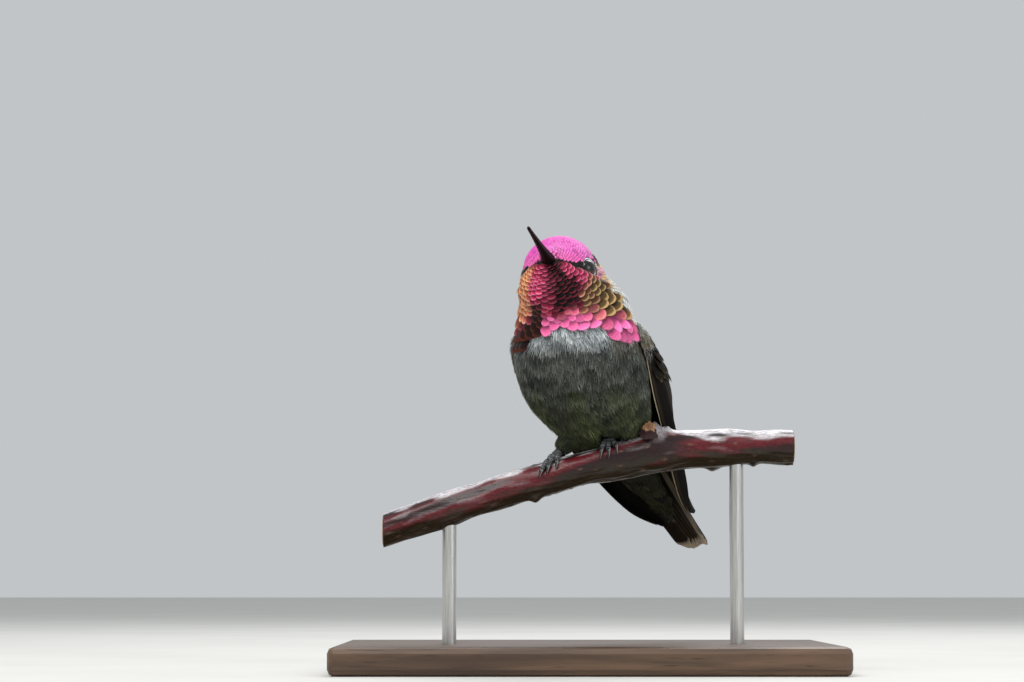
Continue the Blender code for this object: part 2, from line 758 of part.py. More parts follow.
def clearance_round_feet():
    """Cutters that keep the belly's feathers off the branch, the feet and the legs."""
    x = np.linspace(-26, 30, 40)
    angles = np.arange(24) * 15.0
    grid = branch_point(x[:, None], angles[None, :], GAP)
    rooms = [mesh_object("branch_room", grid.reshape(-1, 3), rings_to_faces(len(x), 24))]
    for side, place in FOOT_PLACES.items():
        ankle = ankle_of(place)
        ends = ankle + np.array([[0, 1.5, 0.2], [0, -1.5, 0.2], [0, -4.0, 0.0], [0, -7.0, -0.6]])
        rooms.append(tube(f"foot_room_{side}", ends, FOOT_ROOM, 20))
        _, drift, reach, way = TOES[side][-1]
        rear = toe_path(place, drift, reach + 40.0, way, 12, -10.0, GAP + TOE_RADIUS[0])
        rooms.append(tube(f"toe_room_{side}", rear, [TOE_RADIUS[0] + 2 * GAP] * 12, 12, top=(1, 0, 0)))
        radii = np.linspace(*LEG_RADIUS, 5) + GAP
        rooms.append(tube(f"leg_room_{side}", leg_path(side, place, GAP), radii, 14, top=(1, 0, 0)))
    return [helper(room) for room in rooms]


def main():
    clear_scene()
    build_stand()
    build_branch()
    rooms = clearance_round_feet()
    trunk, rump = build_body(rooms)
    outline = bpy.data.objects["body_outline"]
    collar = copy_of(outline, "body_collar")
    set_points(collar.data, at_distance(points_of(collar.data), GAP))
    helper(collar)
    build_bill(collar)
    for side in WING_LINES:
        build_wing(side)
    build_tail(collar)
    for side, place in FOOT_PLACES.items():
        build_foot(side, place)
        build_leg(side, place)


main()
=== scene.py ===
"""The looks of a life-size display model of a male Anna's hummingbird on a cut length of branch.

Places and lengths are in millimetres about the stance point, which is on top of the branch between
the feet, and placed() turns them to metres in the model's frame. X runs along the branch, the bird
looks towards -Y, and Z is up. "Left" and "right" are the bird's own.
"""

import bmesh
import bpy
import numpy as np
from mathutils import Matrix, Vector
from mathutils.bvhtree import BVHTree


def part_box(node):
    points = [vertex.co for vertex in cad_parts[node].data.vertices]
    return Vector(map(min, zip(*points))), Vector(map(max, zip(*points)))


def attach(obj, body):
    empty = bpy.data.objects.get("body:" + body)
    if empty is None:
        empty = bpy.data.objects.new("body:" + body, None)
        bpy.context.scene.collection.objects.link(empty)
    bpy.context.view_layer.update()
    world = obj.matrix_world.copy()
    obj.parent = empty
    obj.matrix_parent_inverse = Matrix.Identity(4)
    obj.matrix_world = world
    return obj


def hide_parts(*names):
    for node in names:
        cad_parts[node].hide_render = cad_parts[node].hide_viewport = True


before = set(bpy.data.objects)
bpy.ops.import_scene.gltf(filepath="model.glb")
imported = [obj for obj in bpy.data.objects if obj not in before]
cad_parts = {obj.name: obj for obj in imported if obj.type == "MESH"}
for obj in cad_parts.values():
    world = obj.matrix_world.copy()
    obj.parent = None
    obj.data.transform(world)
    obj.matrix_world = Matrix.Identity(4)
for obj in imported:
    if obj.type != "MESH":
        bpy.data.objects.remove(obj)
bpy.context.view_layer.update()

MM = 0.001
EDGE_ANGLE = np.radians(125)  # the rims of thin blades are sharper than this, and everything else is smooth
STANCE = np.array([3.0, -6.0, 47.0])
UP = np.array([0.0, 0.0, 1.0])
random = np.random.default_rng(11)


# ---------------------------------------------------------------- directions, curves and numbers


def unit(vectors):
    vectors = np.asarray(vectors, float)
    return vectors / np.maximum(np.linalg.norm(vectors, axis=-1, keepdims=True), 1e-9)


def ramp(x, low, high):
    """0 below low, 1 above high, and smooth in between."""
    x = np.clip((np.asarray(x, float) - low) / (high - low), 0, 1)
    return x * x * (3 - 2 * x)


def mix(a, b, share):
    return a + (b - a) * share


def axes_of(turn):
    """Rows are forward, left and up for a yaw towards -X, a pitch and a roll in degrees."""
    yaw, pitch, roll = np.radians(turn)
    ahead = np.array([-np.sin(yaw), -np.cos(yaw), 0.0])
    left = np.array([np.cos(yaw), -np.sin(yaw), 0.0])
    top = UP * np.cos(pitch) - ahead * np.sin(pitch)
    return np.array([
        ahead * np.cos(pitch) + UP * np.sin(pitch),
        left * np.cos(roll) + top * np.sin(roll),
        top * np.cos(roll) - left * np.sin(roll),
    ])


def smooth_curve(points, shares):
    """Catmull-Rom places at shares from 0 to 1 along evenly weighted points."""
    points = np.asarray(points, float)
    padded = np.concatenate([2 * points[:1] - points[1:2], points, 2 * points[-1:] - points[-2:-1]])
    at = np.clip(np.asarray(shares, float), 0, 1) * (len(points) - 1)
    i = np.minimum(at.astype(int), len(points) - 2)
    t = (at - i)[..., None]
    a, b, c, d = (padded[i + k] for k in range(4))
    return 0.5 * (
        2 * b
        + (c - a) * t
        + (2 * a - 5 * b + 4 * c - d) * t**2
        + (3 * b - a - 3 * c + d) * t**3
    )


def lumps(points, size, seed):
    """Smooth noise from about -1 to 1 with lumps of that size in mm, the same in every run."""
    draw = np.random.default_rng(seed)
    total = np.zeros(len(points))
    for _ in range(7):
        direction = unit(draw.normal(size=3))
        total += np.sin(points @ direction * (draw.uniform(0.7, 1.5) * 3.1 / size) + draw.uniform(0, 6.3))
    return total / 2.6


def srgb(red, green, blue):
    """A colour as a screen shows it, from 0 to 255, turned to the linear values that shaders take."""
    shown = np.array([red, green, blue]) / 255
    return np.where(shown < 0.04045, shown / 12.92, ((shown + 0.055) / 1.055) ** 2.4)


# ---------------------------------------------------------------- meshes


def placed(points):
    return (np.asarray(points, float) + STANCE) * MM


def linked(name, data):
    """A new object with that data, in the scene."""
    obj = bpy.data.objects.new(name, data)
    bpy.context.scene.collection.objects.link(obj)
    return obj


def points_of(mesh):
    found = np.empty(len(mesh.vertices) * 3, np.float32)
    mesh.vertices.foreach_get("co", found)
    return found.reshape(-1, 3).astype(float) / MM - STANCE


def triangles_of(mesh):
    mesh.calc_loop_triangles()
    found = np.empty(len(mesh.loop_triangles) * 3, np.int32)
    mesh.loop_triangles.foreach_get("vertices", found)
    return found.reshape(-1, 3)


def turn_outwards(mesh):
    """Turns every face outwards."""
    work = bmesh.new()
    work.from_mesh(mesh)
    bmesh.ops.recalc_face_normals(work, faces=work.faces)
    work.to_mesh(mesh)
    work.free()


def make_piece(
    name, points, faces, material, replaces=(), colours=None, vane=None, bake=None, outwards=False,
):
    """A smooth mesh from points in mm and faces of one number of sides, riding on the model."""
    mesh = bpy.data.meshes.new(name)
    faces = np.asarray(faces, np.int32)
    mesh.vertices.add(len(points))
    mesh.vertices.foreach_set("co", placed(points).astype(np.float32).ravel())
    mesh.loops.add(faces.size)
    mesh.loops.foreach_set("vertex_index", faces.ravel())
    mesh.polygons.add(len(faces))
    mesh.polygons.foreach_set("loop_start", np.arange(0, faces.size, faces.shape[1], dtype=np.int32))
    mesh.update(calc_edges=True)
    mesh.shade_smooth()
    mesh.set_sharp_from_angle(angle=EDGE_ANGLE)
    if colours is not None:
        layer = mesh.attributes.new("Plumage", "FLOAT_COLOR", "POINT")
        full = np.ones((len(points), 4), np.float32)
        full[:, :3] = np.clip(colours, 0, 1)
        layer.data.foreach_set("color", full.ravel())
    if vane is not None:
        layer = mesh.attributes.new("Vane", "FLOAT_VECTOR", "POINT")
        layer.data.foreach_set("vector", vane.astype(np.float32).ravel())
    if bake is not None:
        layer = mesh.uv_layers.new(name="OFBake")
        layer.data.foreach_set("uv", bake[faces.ravel()].astype(np.float32).ravel())
    obj = linked(name, mesh)
    mesh.materials.append(material)
    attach(obj, "root")
    if replaces:
        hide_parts(*replaces)
    if outwards:
        turn_outwards(mesh)


def lengths_along(line):
    """The length of a line of points up to each of them."""
    return np.concatenate([[0], np.cumsum(np.linalg.norm(np.diff(line, axis=0), axis=1))])


def read_along(line, at, wanted):
    """Places on a line whose points stand at the values at."""
    return np.stack([np.interp(wanted, at, column) for column in line.T], axis=1)


def grid_numbers(rows, columns):
    return np.arange(rows * columns).reshape(rows, columns)


def cell_corners(number):
    """The four corners of each cell in a grid of point numbers."""
    return np.stack([number[:-1, :-1], number[1:, :-1], number[1:, 1:], number[:-1, 1:]], -1).reshape(-1, 4)


def halved(corners):
    """Two triangles for each cell."""
    return np.concatenate([corners[:, [0, 1, 2]], corners[:, [0, 2, 3]]])


def tube_points(path, radii, around, top=UP):
    """Rings of points round a path, with a radius at each of its points."""
    forward = unit(np.gradient(path, axis=0))
    side = unit(np.cross(forward, top))
    over = np.cross(side, forward)
    turns = np.linspace(0, 2 * np.pi, around, endpoint=False)
    radii = np.broadcast_to(np.asarray(radii, float), (len(path),))
    ring = np.cos(turns)[None, :, None] * side[:, None] + np.sin(turns)[None, :, None] * over[:, None]
    return path[:, None] + ring * radii[:, None, None]


def closed_tube(rings):
    """Points and triangles of a bar from a grid of ring points, with a point at the middle of each end."""
    count, around = rings.shape[:2]
    r, i = np.meshgrid(np.arange(count - 1), np.arange(around), indexing="ij")
    a = r * around + i
    b = r * around + (i + 1) % around
    sides = np.concatenate([np.stack([a, b, b + around], -1), np.stack([a, b + around, a + around], -1)])
    ring = np.arange(around)
    start, end = count * around, count * around + 1
    first = np.stack([(ring + 1) % around, ring, np.full(around, start)], -1)
    last = (count - 1) * around + np.stack([ring, (ring + 1) % around, ring * 0], -1)
    last[:, 2] = end
    points = np.concatenate([rings.reshape(-1, 3), rings[0].mean(0)[None], rings[-1].mean(0)[None]])
    return points, np.concatenate([sides.reshape(-1, 3), first, last])


def joined(parts):
    """Points and triangles of several (points, triangles) together."""
    points, faces, total = [], [], 0
    for some_points, some_faces in parts:
        points.append(some_points)
        faces.append(some_faces + total)
        total += len(some_points)
    return np.concatenate(points), np.concatenate(faces)


# ---------------------------------------------------------------- materials


def node(tree, kind, inputs=(), **settings):
    """A new node, with each input set to a value or linked from a socket."""
    made = tree.nodes.new(kind)
    for key, value in settings.items():
        setattr(made, key, value)
    for key, value in dict(inputs).items():
        socket = made.inputs[key]
        if isinstance(value, bpy.types.NodeSocket):
            tree.links.new(value, socket)
        else:
            socket.default_value = value
    return made


def maths(tree, operation, *values):
    return node(tree, "ShaderNodeMath", dict(enumerate(values)), operation=operation).outputs[0]


def multiplied(tree, a, b):
    """One vector or colour times another."""
    return node(tree, "ShaderNodeVectorMath", {0: a, 1: b}, operation="MULTIPLY").outputs[0]


def toned(tree, shader, colour, value):
    """Gives the shader a colour times a value."""
    grey = node(tree, "ShaderNodeCombineXYZ", {0: value, 1: value, 2: value}).outputs[0]
    tree.links.new(multiplied(tree, colour, grey), shader.inputs["Base Color"])


def blend(tree, share, a, b):
    """A colour between a and b, each a socket or a linear colour."""
    made = tree.nodes.new("ShaderNodeMix")
    made.data_type = "RGBA"
    for index, value in ((0, share), (6, a), (7, b)):
        if isinstance(value, bpy.types.NodeSocket):
            tree.links.new(value, made.inputs[index])
        elif index == 0:
            made.inputs[index].default_value = value
        else:
            made.inputs[index].default_value = (*value, 1)
    return made.outputs[2]


def noise(tree, size, detail, stretch=(1, 1, 1), distortion=0.0):
    """Object-space noise from 0 to 1, with lumps of about size mm, drawn out along each axis by stretch."""
    place = node(tree, "ShaderNodeTexCoord").outputs["Object"]
    scale = tuple(1 / (size * MM * s) for s in stretch)
    place = multiplied(tree, place, scale)
    values = {"Vector": place, "Scale": 1.0, "Detail": detail, "Distortion": distortion}
    return node(tree, "ShaderNodeTexNoise", values).outputs["Fac"]


def levels(tree, value, low, high, to_low=0.0, to_high=1.0):
    made = node(tree, "ShaderNodeMapRange", {0: value, 1: low, 2: high, 3: to_low, 4: to_high})
    made.interpolation_type = "SMOOTHSTEP"
    return made.outputs[0]


def new_material(name, roughness, metallic=0.0, **values):
    """A material, its tree and its shader, with values that are the same all over the surface."""
    material = bpy.data.materials.new(name)
    material.use_nodes = True
    tree = material.node_tree
    shader = tree.nodes["Principled BSDF"]
    shader.inputs["Roughness"].default_value = roughness
    shader.inputs["Metallic"].default_value = metallic
    for key, value in values.items():
        shader.inputs[key.replace("_", " ")].default_value = value
    return material, tree, shader


def bumped(tree, shader, height, distance, strength=1.0):
    """Bump of that distance in mm from a height from 0 to 1."""
    made = node(tree, "ShaderNodeBump", {"Height": height, "Distance": distance * MM, "Strength": strength})
    tree.links.new(made.outputs[0], shader.inputs["Normal"])


def feather_material(name, roughness, barbs, mottle, **values):
    """Feather colours from the mesh, with fine barbs that slope back from the shaft, and a soft mottle."""
    material, tree, shader = new_material(name, roughness, **values)
    colour = node(tree, "ShaderNodeAttribute", attribute_name="Plumage").outputs["Color"]
    vane = node(tree, "ShaderNodeAttribute", attribute_name="Vane").outputs["Vector"]
    parts = node(tree, "ShaderNodeSeparateXYZ", {0: vane})
    along, across = parts.outputs[0], maths(tree, "ABSOLUTE", parts.outputs[1])
    ahead = maths(tree, "MULTIPLY", along, barbs)
    back = maths(tree, "MULTIPLY", across, barbs * 0.12)
    slope = maths(tree, "SUBTRACT", ahead, back)
    stripes = maths(tree, "SINE", maths(tree, "MULTIPLY", slope, 6.283))
    stripes = maths(tree, "MULTIPLY_ADD", stripes, 0.5, 0.5)
    fine = noise(tree, 0.5, 4.0)
    value = maths(tree, "MULTIPLY_ADD", stripes, 0.16, 0.90)
    value = maths(tree, "MULTIPLY", value, levels(tree, fine, 0.25, 0.75, 1 - mottle, 1 + mottle))
    toned(tree, shader, colour, value)
    bumped(tree, shader, stripes, 0.015, 0.6)
    return material


# ---------------------------------------------------------------- places read from the frame


def middle_of(name):
    low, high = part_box(name)
    return (np.array(low) + np.array(high)) / 2 / MM - STANCE


def node_points(name):
    return points_of(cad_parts[name].data)


EYES = {side: middle_of(f"eye_{side}") for side in ("left", "right")}
EYE_RADIUS = (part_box("eye_left")[1].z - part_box("eye_left")[0].z) / 2 / MM
BROW = (EYES["left"] + EYES["right"]) / 2
BILL_END = max(node_points("bill_upper").tolist(), key=lambda p: np.linalg.norm(np.array(p) - BROW))
HEAD_LEFT = unit(EYES["left"] - EYES["right"])
HEAD_AHEAD = np.array(BILL_END) - BROW
HEAD_AHEAD = unit(HEAD_AHEAD - HEAD_LEFT * (HEAD_AHEAD @ HEAD_LEFT))
HEAD = np.array([HEAD_AHEAD, HEAD_LEFT, np.cross(HEAD_AHEAD, HEAD_LEFT)])
TRUNK = axes_of((28.0, 57.0, 0.0))


def head_place(points):
    """Places forward, left and up from between the eyes, in the head's own directions."""
    return (np.atleast_2d(points) - BROW) @ HEAD.T


# ---------------------------------------------------------------- the skin

FLESH = ("head", "gorget", "neck", "trunk", "rump")
SWELL = 0.3  # closes the cuts between the solids while they are joined
SKIN_VOXEL = 0.45
BILL_MOUTH = 1.35  # radius round the bill's base where the feathers start


class Surface:
    """A triangle mesh in mm whose values can be read at the place nearest to any point."""

    def __init__(self, points, triangles):
        self.points, self.triangles = points, triangles
        self.tree = BVHTree.FromPolygons(points.tolist(), triangles.tolist())
        edges = np.concatenate([triangles[:, [0, 1]], triangles[:, [1, 2]], triangles[:, [2, 0]]])
        edges = np.unique(np.sort(edges, axis=1), axis=0)
        self.ends = np.concatenate([edges, edges[:, ::-1]])
        self.degree = np.bincount(self.ends[:, 0], minlength=len(points))[:, None]
        self.normals = self.smoothed(self.corner_normals(), 4)

    def corner_normals(self):
        a, b, c = (self.points[self.triangles[:, k]] for k in range(3))
        return unit(self.summed(np.cross(b - a, c - a)))

    def summed(self, values):
        """At each point, the sum of the values of the triangles round it."""
        total = np.zeros_like(self.points)
        for k in range(3):
            for axis in range(3):
                total[:, axis] += np.bincount(self.triangles[:, k], values[:, axis], len(self.points))
        return total

    def smoothed(self, values, rounds):
        """Values averaged with their neighbours' that many times."""
        flat = values.reshape(len(values), -1)
        for _ in range(rounds):
            starts, stops = self.ends.T
            around = np.stack([np.bincount(starts, column[stops], len(flat)) for column in flat.T], axis=1)
            flat = (flat + around / self.degree) / 2
        return flat.reshape(values.shape)

    def nearest(self, places):
        """The nearest places on the surface, with the corners and weights to read values by."""
        found = [self.tree.find_nearest(place) for place in places.tolist()]
        near = np.array([f[0] for f in found])
        corners = self.triangles[[f[2] for f in found]]
        a, b, c = (self.points[corners[:, k]] for k in range(3))
        normal = np.cross(b - a, c - a)
        size = np.maximum((normal**2).sum(1), 1e-12)
        at_b = (np.cross(near - a, c - a) * normal).sum(1) / size
        at_c = (np.cross(b - a, near - a) * normal).sum(1) / size
        weights = np.clip(np.stack([1 - at_b - at_c, at_b, at_c], axis=1), 0, 1)
        return near, corners, weights / weights.sum(1, keepdims=True)

    def read(self, values, where):
        _, corners, weights = where
        if values.ndim == 1:
            return (values[corners] * weights).sum(1)
        return (values[corners] * weights[..., None]).sum(1)

    def spread_from(self, values, sweeps=400):
        """Distances over the surface from the points whose value isn't infinite."""
        tri = self.triangles
        order = [(tri[:, i], tri[:, j], tri[:, k]) for i, j, k in ((0, 1, 2), (1, 2, 0), (2, 0, 1))]
        sides = []
        for a, b, c in order:
            edge = self.points[b] - self.points[a]
            length = np.linalg.norm(edge, axis=1)
            reach = self.points[c] - self.points[a]
            foot = (reach * edge).sum(1) / length
            height = np.sqrt(np.maximum((reach**2).sum(1) - foot**2, 1e-12))
            sides.append((a, b, c, length, foot, height))
        for _ in range(sweeps):
            before = values.copy()
            for a, b, c, length, foot, height in sides:
                known = np.isfinite(before[a]) & np.isfinite(before[b])
                slope = np.subtract(before[b], before[a], where=known, out=length * 0) / length
                steep = np.clip(slope, -0.999, 0.999)
                along = np.clip(foot - steep * height / np.sqrt(1 - steep**2), 0, length)
                reached = before[a] + slope * along + np.hypot(along - foot, height)
                reached = np.where(known, reached, np.inf)
                np.minimum.at(values, c, reached)
            if np.array_equal(before, values):
                break
        return values


def flesh_surface():
    """One closed surface round the solids of flesh, without the cuts between them."""
    work = bmesh.new()
    for name in FLESH:
        work.from_mesh(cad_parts[name].data)
    bmesh.ops.remove_doubles(work, verts=work.verts, dist=0.002 * MM)
    bmesh.ops.recalc_face_normals(work, faces=work.faces)
    work.normal_update()
    for vertex in work.verts:
        vertex.co += vertex.normal * SWELL * MM
    mesh = bpy.data.meshes.new("flesh")
    work.to_mesh(mesh)
    work.free()
    obj = linked("flesh", mesh)
    remesh = obj.modifiers.new("join", "REMESH")
    remesh.mode = "VOXEL"
    remesh.voxel_size = SKIN_VOXEL * MM
    bpy.context.view_layer.update()
    graph = bpy.context.evaluated_depsgraph_get()
    whole = bpy.data.meshes.new_from_object(obj.evaluated_get(graph), depsgraph=graph)
    bpy.data.objects.remove(obj)
    return Surface(points_of(whole), triangles_of(whole))


def coat_depth(points):
    """How far the skin lies inside the outline of the feathers, in mm."""
    place = head_place(points)
    on_head = ramp(place[:, 2], -6.0, -2.0)
    return mix(0.75, 0.35, on_head)


def build_skin():
    edge_shadow = flesh_surface()
    smooth = edge_shadow.smoothed(edge_shadow.points, 5)
    eased = Surface(smooth, edge_shadow.triangles)
    inner = smooth - eased.normals * (SWELL + coat_depth(smooth))[:, None]
    skin = Surface(eased.smoothed(inner, 2), edge_shadow.triangles)
    mouth = skin.nearest(bill_base()[None])[0][0]
    away = np.linalg.norm(skin.points - mouth, axis=1)
    start = np.where(away < BILL_MOUTH + 1.2, np.maximum(away - BILL_MOUTH, 0), np.inf)
    skin.from_bill = skin.smoothed(skin.spread_from(start), 6)
    skin.flow = flow_over(skin)
    return skin


def bill_base():
    """Where the bill's axis leaves the face."""
    points = node_points("bill_upper")
    reach = (points - BROW) @ HEAD[0]
    return points[reach < reach.min() + 1.0].mean(0)


# The body's middle line, from the head to the tail's tip
BODY_LINE = np.array([
    (-9.0, -7.5, 37.0), (-5.4, -4.3, 29.5), (-4.8, -2.2, 21.0), (-3.2, 0.6, 15.8),
    (0.9, 4.0, 8.2), (6.8, 11.8, -1.9), (12.5, 17.0, -8.5), (21.9, 27.3, -17.8),
])


def line_place(points):
    """The nearest place on the body's middle line to each point, and the line's direction there."""
    line = smooth_curve(BODY_LINE, np.linspace(0, 1, 141))
    ahead = unit(np.gradient(line, axis=0))
    best = np.linalg.norm(points[:, None] - line[None], axis=2).argmin(1)
    return line[best], ahead[best]


def flow_over(skin):
    """The way feathers lie at each point: away from the bill on the head, and along the body below."""
    tri = skin.triangles
    a, b, c = (skin.points[tri[:, k]] for k in range(3))
    normal = np.cross(b - a, c - a)
    size = np.maximum((normal**2).sum(1, keepdims=True), 1e-12)
    values = skin.from_bill[tri]
    slope = (
        np.cross(normal, c - b) * values[:, :1]
        + np.cross(normal, a - c) * values[:, 1:2]
        + np.cross(normal, b - a) * values[:, 2:]
    ) / size
    from_bill = skin.smoothed(unit(skin.summed(slope)), 12)
    _, ahead = line_place(skin.points)
    share = ramp(skin.from_bill, 14.0, 24.0)[:, None]
    flow = mix(unit(from_bill), ahead, share)
    flow -= skin.normals * (flow * skin.normals).sum(1, keepdims=True)
    return unit(skin.smoothed(unit(flow), 4))


SKIN = build_skin()
BILL_BASE = bill_base()


# ---------------------------------------------------------------- rows of feathers over the skin

LINE_STEP = 0.08
BAKE_PATCH = 0.003


def line_at(level):
    """The longest closed line over the skin at that distance from the bill, in even steps."""
    values = SKIN.from_bill[SKIN.triangles]
    above = values >= level
    hit = above.any(1) & ~above.all(1)
    values, above, tri = values[hit], above[hit], SKIN.triangles[hit]
    after = [1, 2, 0]
    crossed = above != above[:, after]
    low, high = np.minimum(tri, tri[:, after]), np.maximum(tri, tri[:, after])
    share = (level - values) / np.where(crossed, values[:, after] - values, 1)
    spots = SKIN.points[tri] + (SKIN.points[tri[:, after]] - SKIN.points[tri]) * share[..., None]
    keys = (low * len(SKIN.points) + high)[crossed]
    place_of = dict(zip(keys.tolist(), spots[crossed]))
    beside = {}
    for one, other in keys.reshape(-1, 2).tolist():
        beside.setdefault(one, []).append(other)
        beside.setdefault(other, []).append(one)
    best = []
    while beside:
        at = next(iter(beside))
        loop = []
        while at is not None:
            loop.append(at)
            at = next((k for k in beside.pop(at) if k in beside), None)
        best = max(best, loop, key=len)
    line = np.array([place_of[k] for k in best])
    for _ in range(3):
        line = (line + (np.roll(line, 1, 0) + np.roll(line, -1, 0)) / 2) / 2
    closed = np.vstack([line, line[:1]])
    length = lengths_along(closed)
    even = np.linspace(0, length[-1], max(int(length[-1] / LINE_STEP), 8), endpoint=False)
    return read_along(closed, length, even)


def rows_between(first, last, pitch, spacing):
    """Roots in rows across the flow, each between two of the row before it, like tiles on a roof."""
    level, previous, rows = first, None, []
    last = min(last, SKIN.from_bill.max() - 0.5)
    while level < last:
        line = line_at(level)
        count = len(line)
        if previous is None:
            found = np.linspace(0, count, int(count * LINE_STEP / spacing(line).mean()) + 3, endpoint=False)
        else:
            at = np.unique([np.linalg.norm(line - place, axis=1).argmin() for place in previous])
            gaps = np.diff(np.append(at, at[0] + count))
            wanted = spacing(line[at]) / LINE_STEP
            parts = np.maximum(np.round(gaps / wanted), 1).astype(int)
            found = np.concatenate([a + g * (np.arange(n) + 0.5) / n for a, g, n in zip(at, gaps, parts)])
            kept = [found[0]]
            for place, want in zip(found[1:], np.repeat(wanted, parts)[1:]):
                if place - kept[-1] > 0.66 * want:
                    kept.append(place)
            found = np.array(kept)
        previous = line[np.round(found).astype(int) % count]
        rows.append(previous)
        level += pitch(level)
    return np.vstack(rows)


class Spots:
    """Places on a surface, with the feathers' directions and the surface's curvature there."""

    PROBE = 0.8

    def __init__(self, roots, surface=None):
        surface = surface or SKIN
        where = surface.nearest(roots)
        self.near = where[0]
        self.normal = unit(surface.read(surface.normals, where))
        flow = surface.read(surface.flow, where)
        self.flow = unit(flow - self.normal * (flow * self.normal).sum(1, keepdims=True))
        self.side = np.cross(self.normal, self.flow)
        self.from_bill = SKIN.read(SKIN.from_bill, SKIN.nearest(self.near))
        self.bends = []
        for way in (self.flow, self.side):
            ahead = surface.nearest(self.near + way * self.PROBE)
            change = unit(surface.read(surface.normals, ahead)) - self.normal
            self.bends.append(np.clip((change * way).sum(1) / self.PROBE, -0.12, 0.30))
        self.bake = unwrapped(self.near, self.from_bill)

    def kept(self, mask):
        made = object.__new__(Spots)
        for key in ("near", "normal", "flow", "side", "from_bill", "bake"):
            setattr(made, key, getattr(self, key)[mask])
        made.bends = [bend[mask] for bend in self.bends]
        return made

    def __len__(self):
        return len(self.near)

    def shown(self, length, share=0.75, off=0.4):
        """About where the feather's visible part is."""
        length = np.broadcast_to(length, len(self))[:, None] * share
        drop = self.bends[0][:, None] * length**2 / 2
        return self.near + self.flow * length + self.normal * (off - drop)


def unwrapped(points, from_bill):
    """Where each point is on a map of the skin: round the body's middle line, and along from the bill."""
    line, ahead = line_place(points)
    back = np.array([0.4, 0.9, 0.0])
    back = unit(back - ahead * (ahead @ back)[:, None])
    offset = points - line
    turn = np.arctan2((offset * np.cross(ahead, back)).sum(1), (offset * back).sum(1))
    return np.stack([0.5 + turn / 6.2832 * 0.97, 0.02 + 0.95 * from_bill / SKIN.from_bill.max()], axis=1)


class Vane:
    """A thin closed blade, as unit coordinates along, across and through it, with its faces."""

    def __init__(self, rows, columns, root=0.5, full_at=0.5, blunt=0.4, rounding=0.2, full_from=0.72):
        a = np.repeat(np.linspace(0, 1, rows + 1), columns + 1)
        b = np.tile(np.linspace(-1, 1, columns + 1), rows + 1)
        wide = mix(root, 1, ramp(a, 0, full_at)) * (1 - blunt * ramp(a, full_from, 1.0) ** 1.5)
        size = (rows + 1) * (columns + 1)
        number = grid_numbers(rows + 1, columns + 1)
        under = number.copy()
        inner = number[1:-1, 1:-1]
        under[1:-1, 1:-1] = size + grid_numbers(*inner.shape)
        faces = []
        r, c = np.indices((rows, columns))
        # No triangle has all three of its points on the rim, which both sides share
        turned = ((2 * r < rows) ^ (2 * c < columns)).ravel()
        for grid, way in ((number, 1), (under, -1)):
            corners = cell_corners(grid)
            corners[turned] = np.roll(corners[turned], -1, axis=1)
            faces.append(halved(corners)[:, ::way])
        pick = np.concatenate([np.arange(size), inner.ravel()])
        self.faces = np.concatenate(faces)
        self.a, self.b = a[pick], b[pick]
        self.x = self.a - rounding * self.a**2 * np.abs(self.b) ** 2.2
        self.y = self.b * wide[pick]
        self.through = np.concatenate([np.zeros(size), -np.ones(inner.size)])
        self.ridge = np.where(self.through < 0, 0, 1 - np.abs(self.b)) * (self.a < 1) * (self.a > 0)


class Barb:
    """A thin three-sided spike, for hair-like feather tips."""

    def __init__(self, rings=3):
        shares = np.linspace(0, 1, rings, endpoint=False)
        turns = np.radians([90, 210, 330])
        a = np.append(np.repeat(shares, 3), 1.0)
        taper = np.append(np.repeat(1 - 0.65 * shares**1.5, 3), 0)
        self.a, self.b = a, a * 0
        self.x = a
        self.y = taper * np.append(np.tile(np.cos(turns), rings), 0)
        self.through = taper * np.append(np.tile(np.sin(turns), rings), 0)
        self.ridge = a * 0
        last = 3 * (rings - 1)
        faces = [(0, 1, 2)]
        for r in range(0, last, 3):
            for i in range(3):
                j = (i + 1) % 3
                faces += [(r + i, r + j + 3, r + j), (r + i, r + i + 3, r + j + 3)]
        faces += [(last + i, last + 3, last + (i + 1) % 3) for i in range(3)]
        self.faces = np.array(faces)[:, ::-1]


def lay(
    shape, spots, length, width, rise,
    tilt=0.0, cup=0.0, curl=0.0, yaw=0.0, roll=0.0, thick=0.03, sunk=0.05, shift=0.0,
):
    """Points of one blade at each spot, following the skin's curve. Sizes may differ from spot to spot."""
    count = len(spots)

    def each(value):
        return np.broadcast_to(np.asarray(value, float), (count,))[:, None]

    yaw, roll = each(yaw), each(roll)
    ahead = spots.flow * np.cos(yaw) + spots.side * np.sin(yaw)
    side = spots.side * np.cos(yaw) - spots.flow * np.sin(yaw)
    x = shape.x[None] * each(length)
    y = shape.y[None] * each(width) / 2 + each(shift)
    z = each(rise) * (1 - (1 - shape.a[None]) ** 2) - each(sunk) + each(tilt) * x
    z = z - each(cup) * each(width) * shape.b[None] ** 2 - each(curl) * each(length) * shape.a[None] ** 3
    z = z + roll * y + each(thick) * (shape.through + 0.6 * shape.ridge)[None]
    z = z - spots.bends[0][:, None] * x**2 / 2 - spots.bends[1][:, None] * y**2 / 2
    return (
        spots.near[:, None]
        + x[..., None] * ahead[:, None]
        + y[..., None] * side[:, None]
        + z[..., None] * spots.normal[:, None]
    )


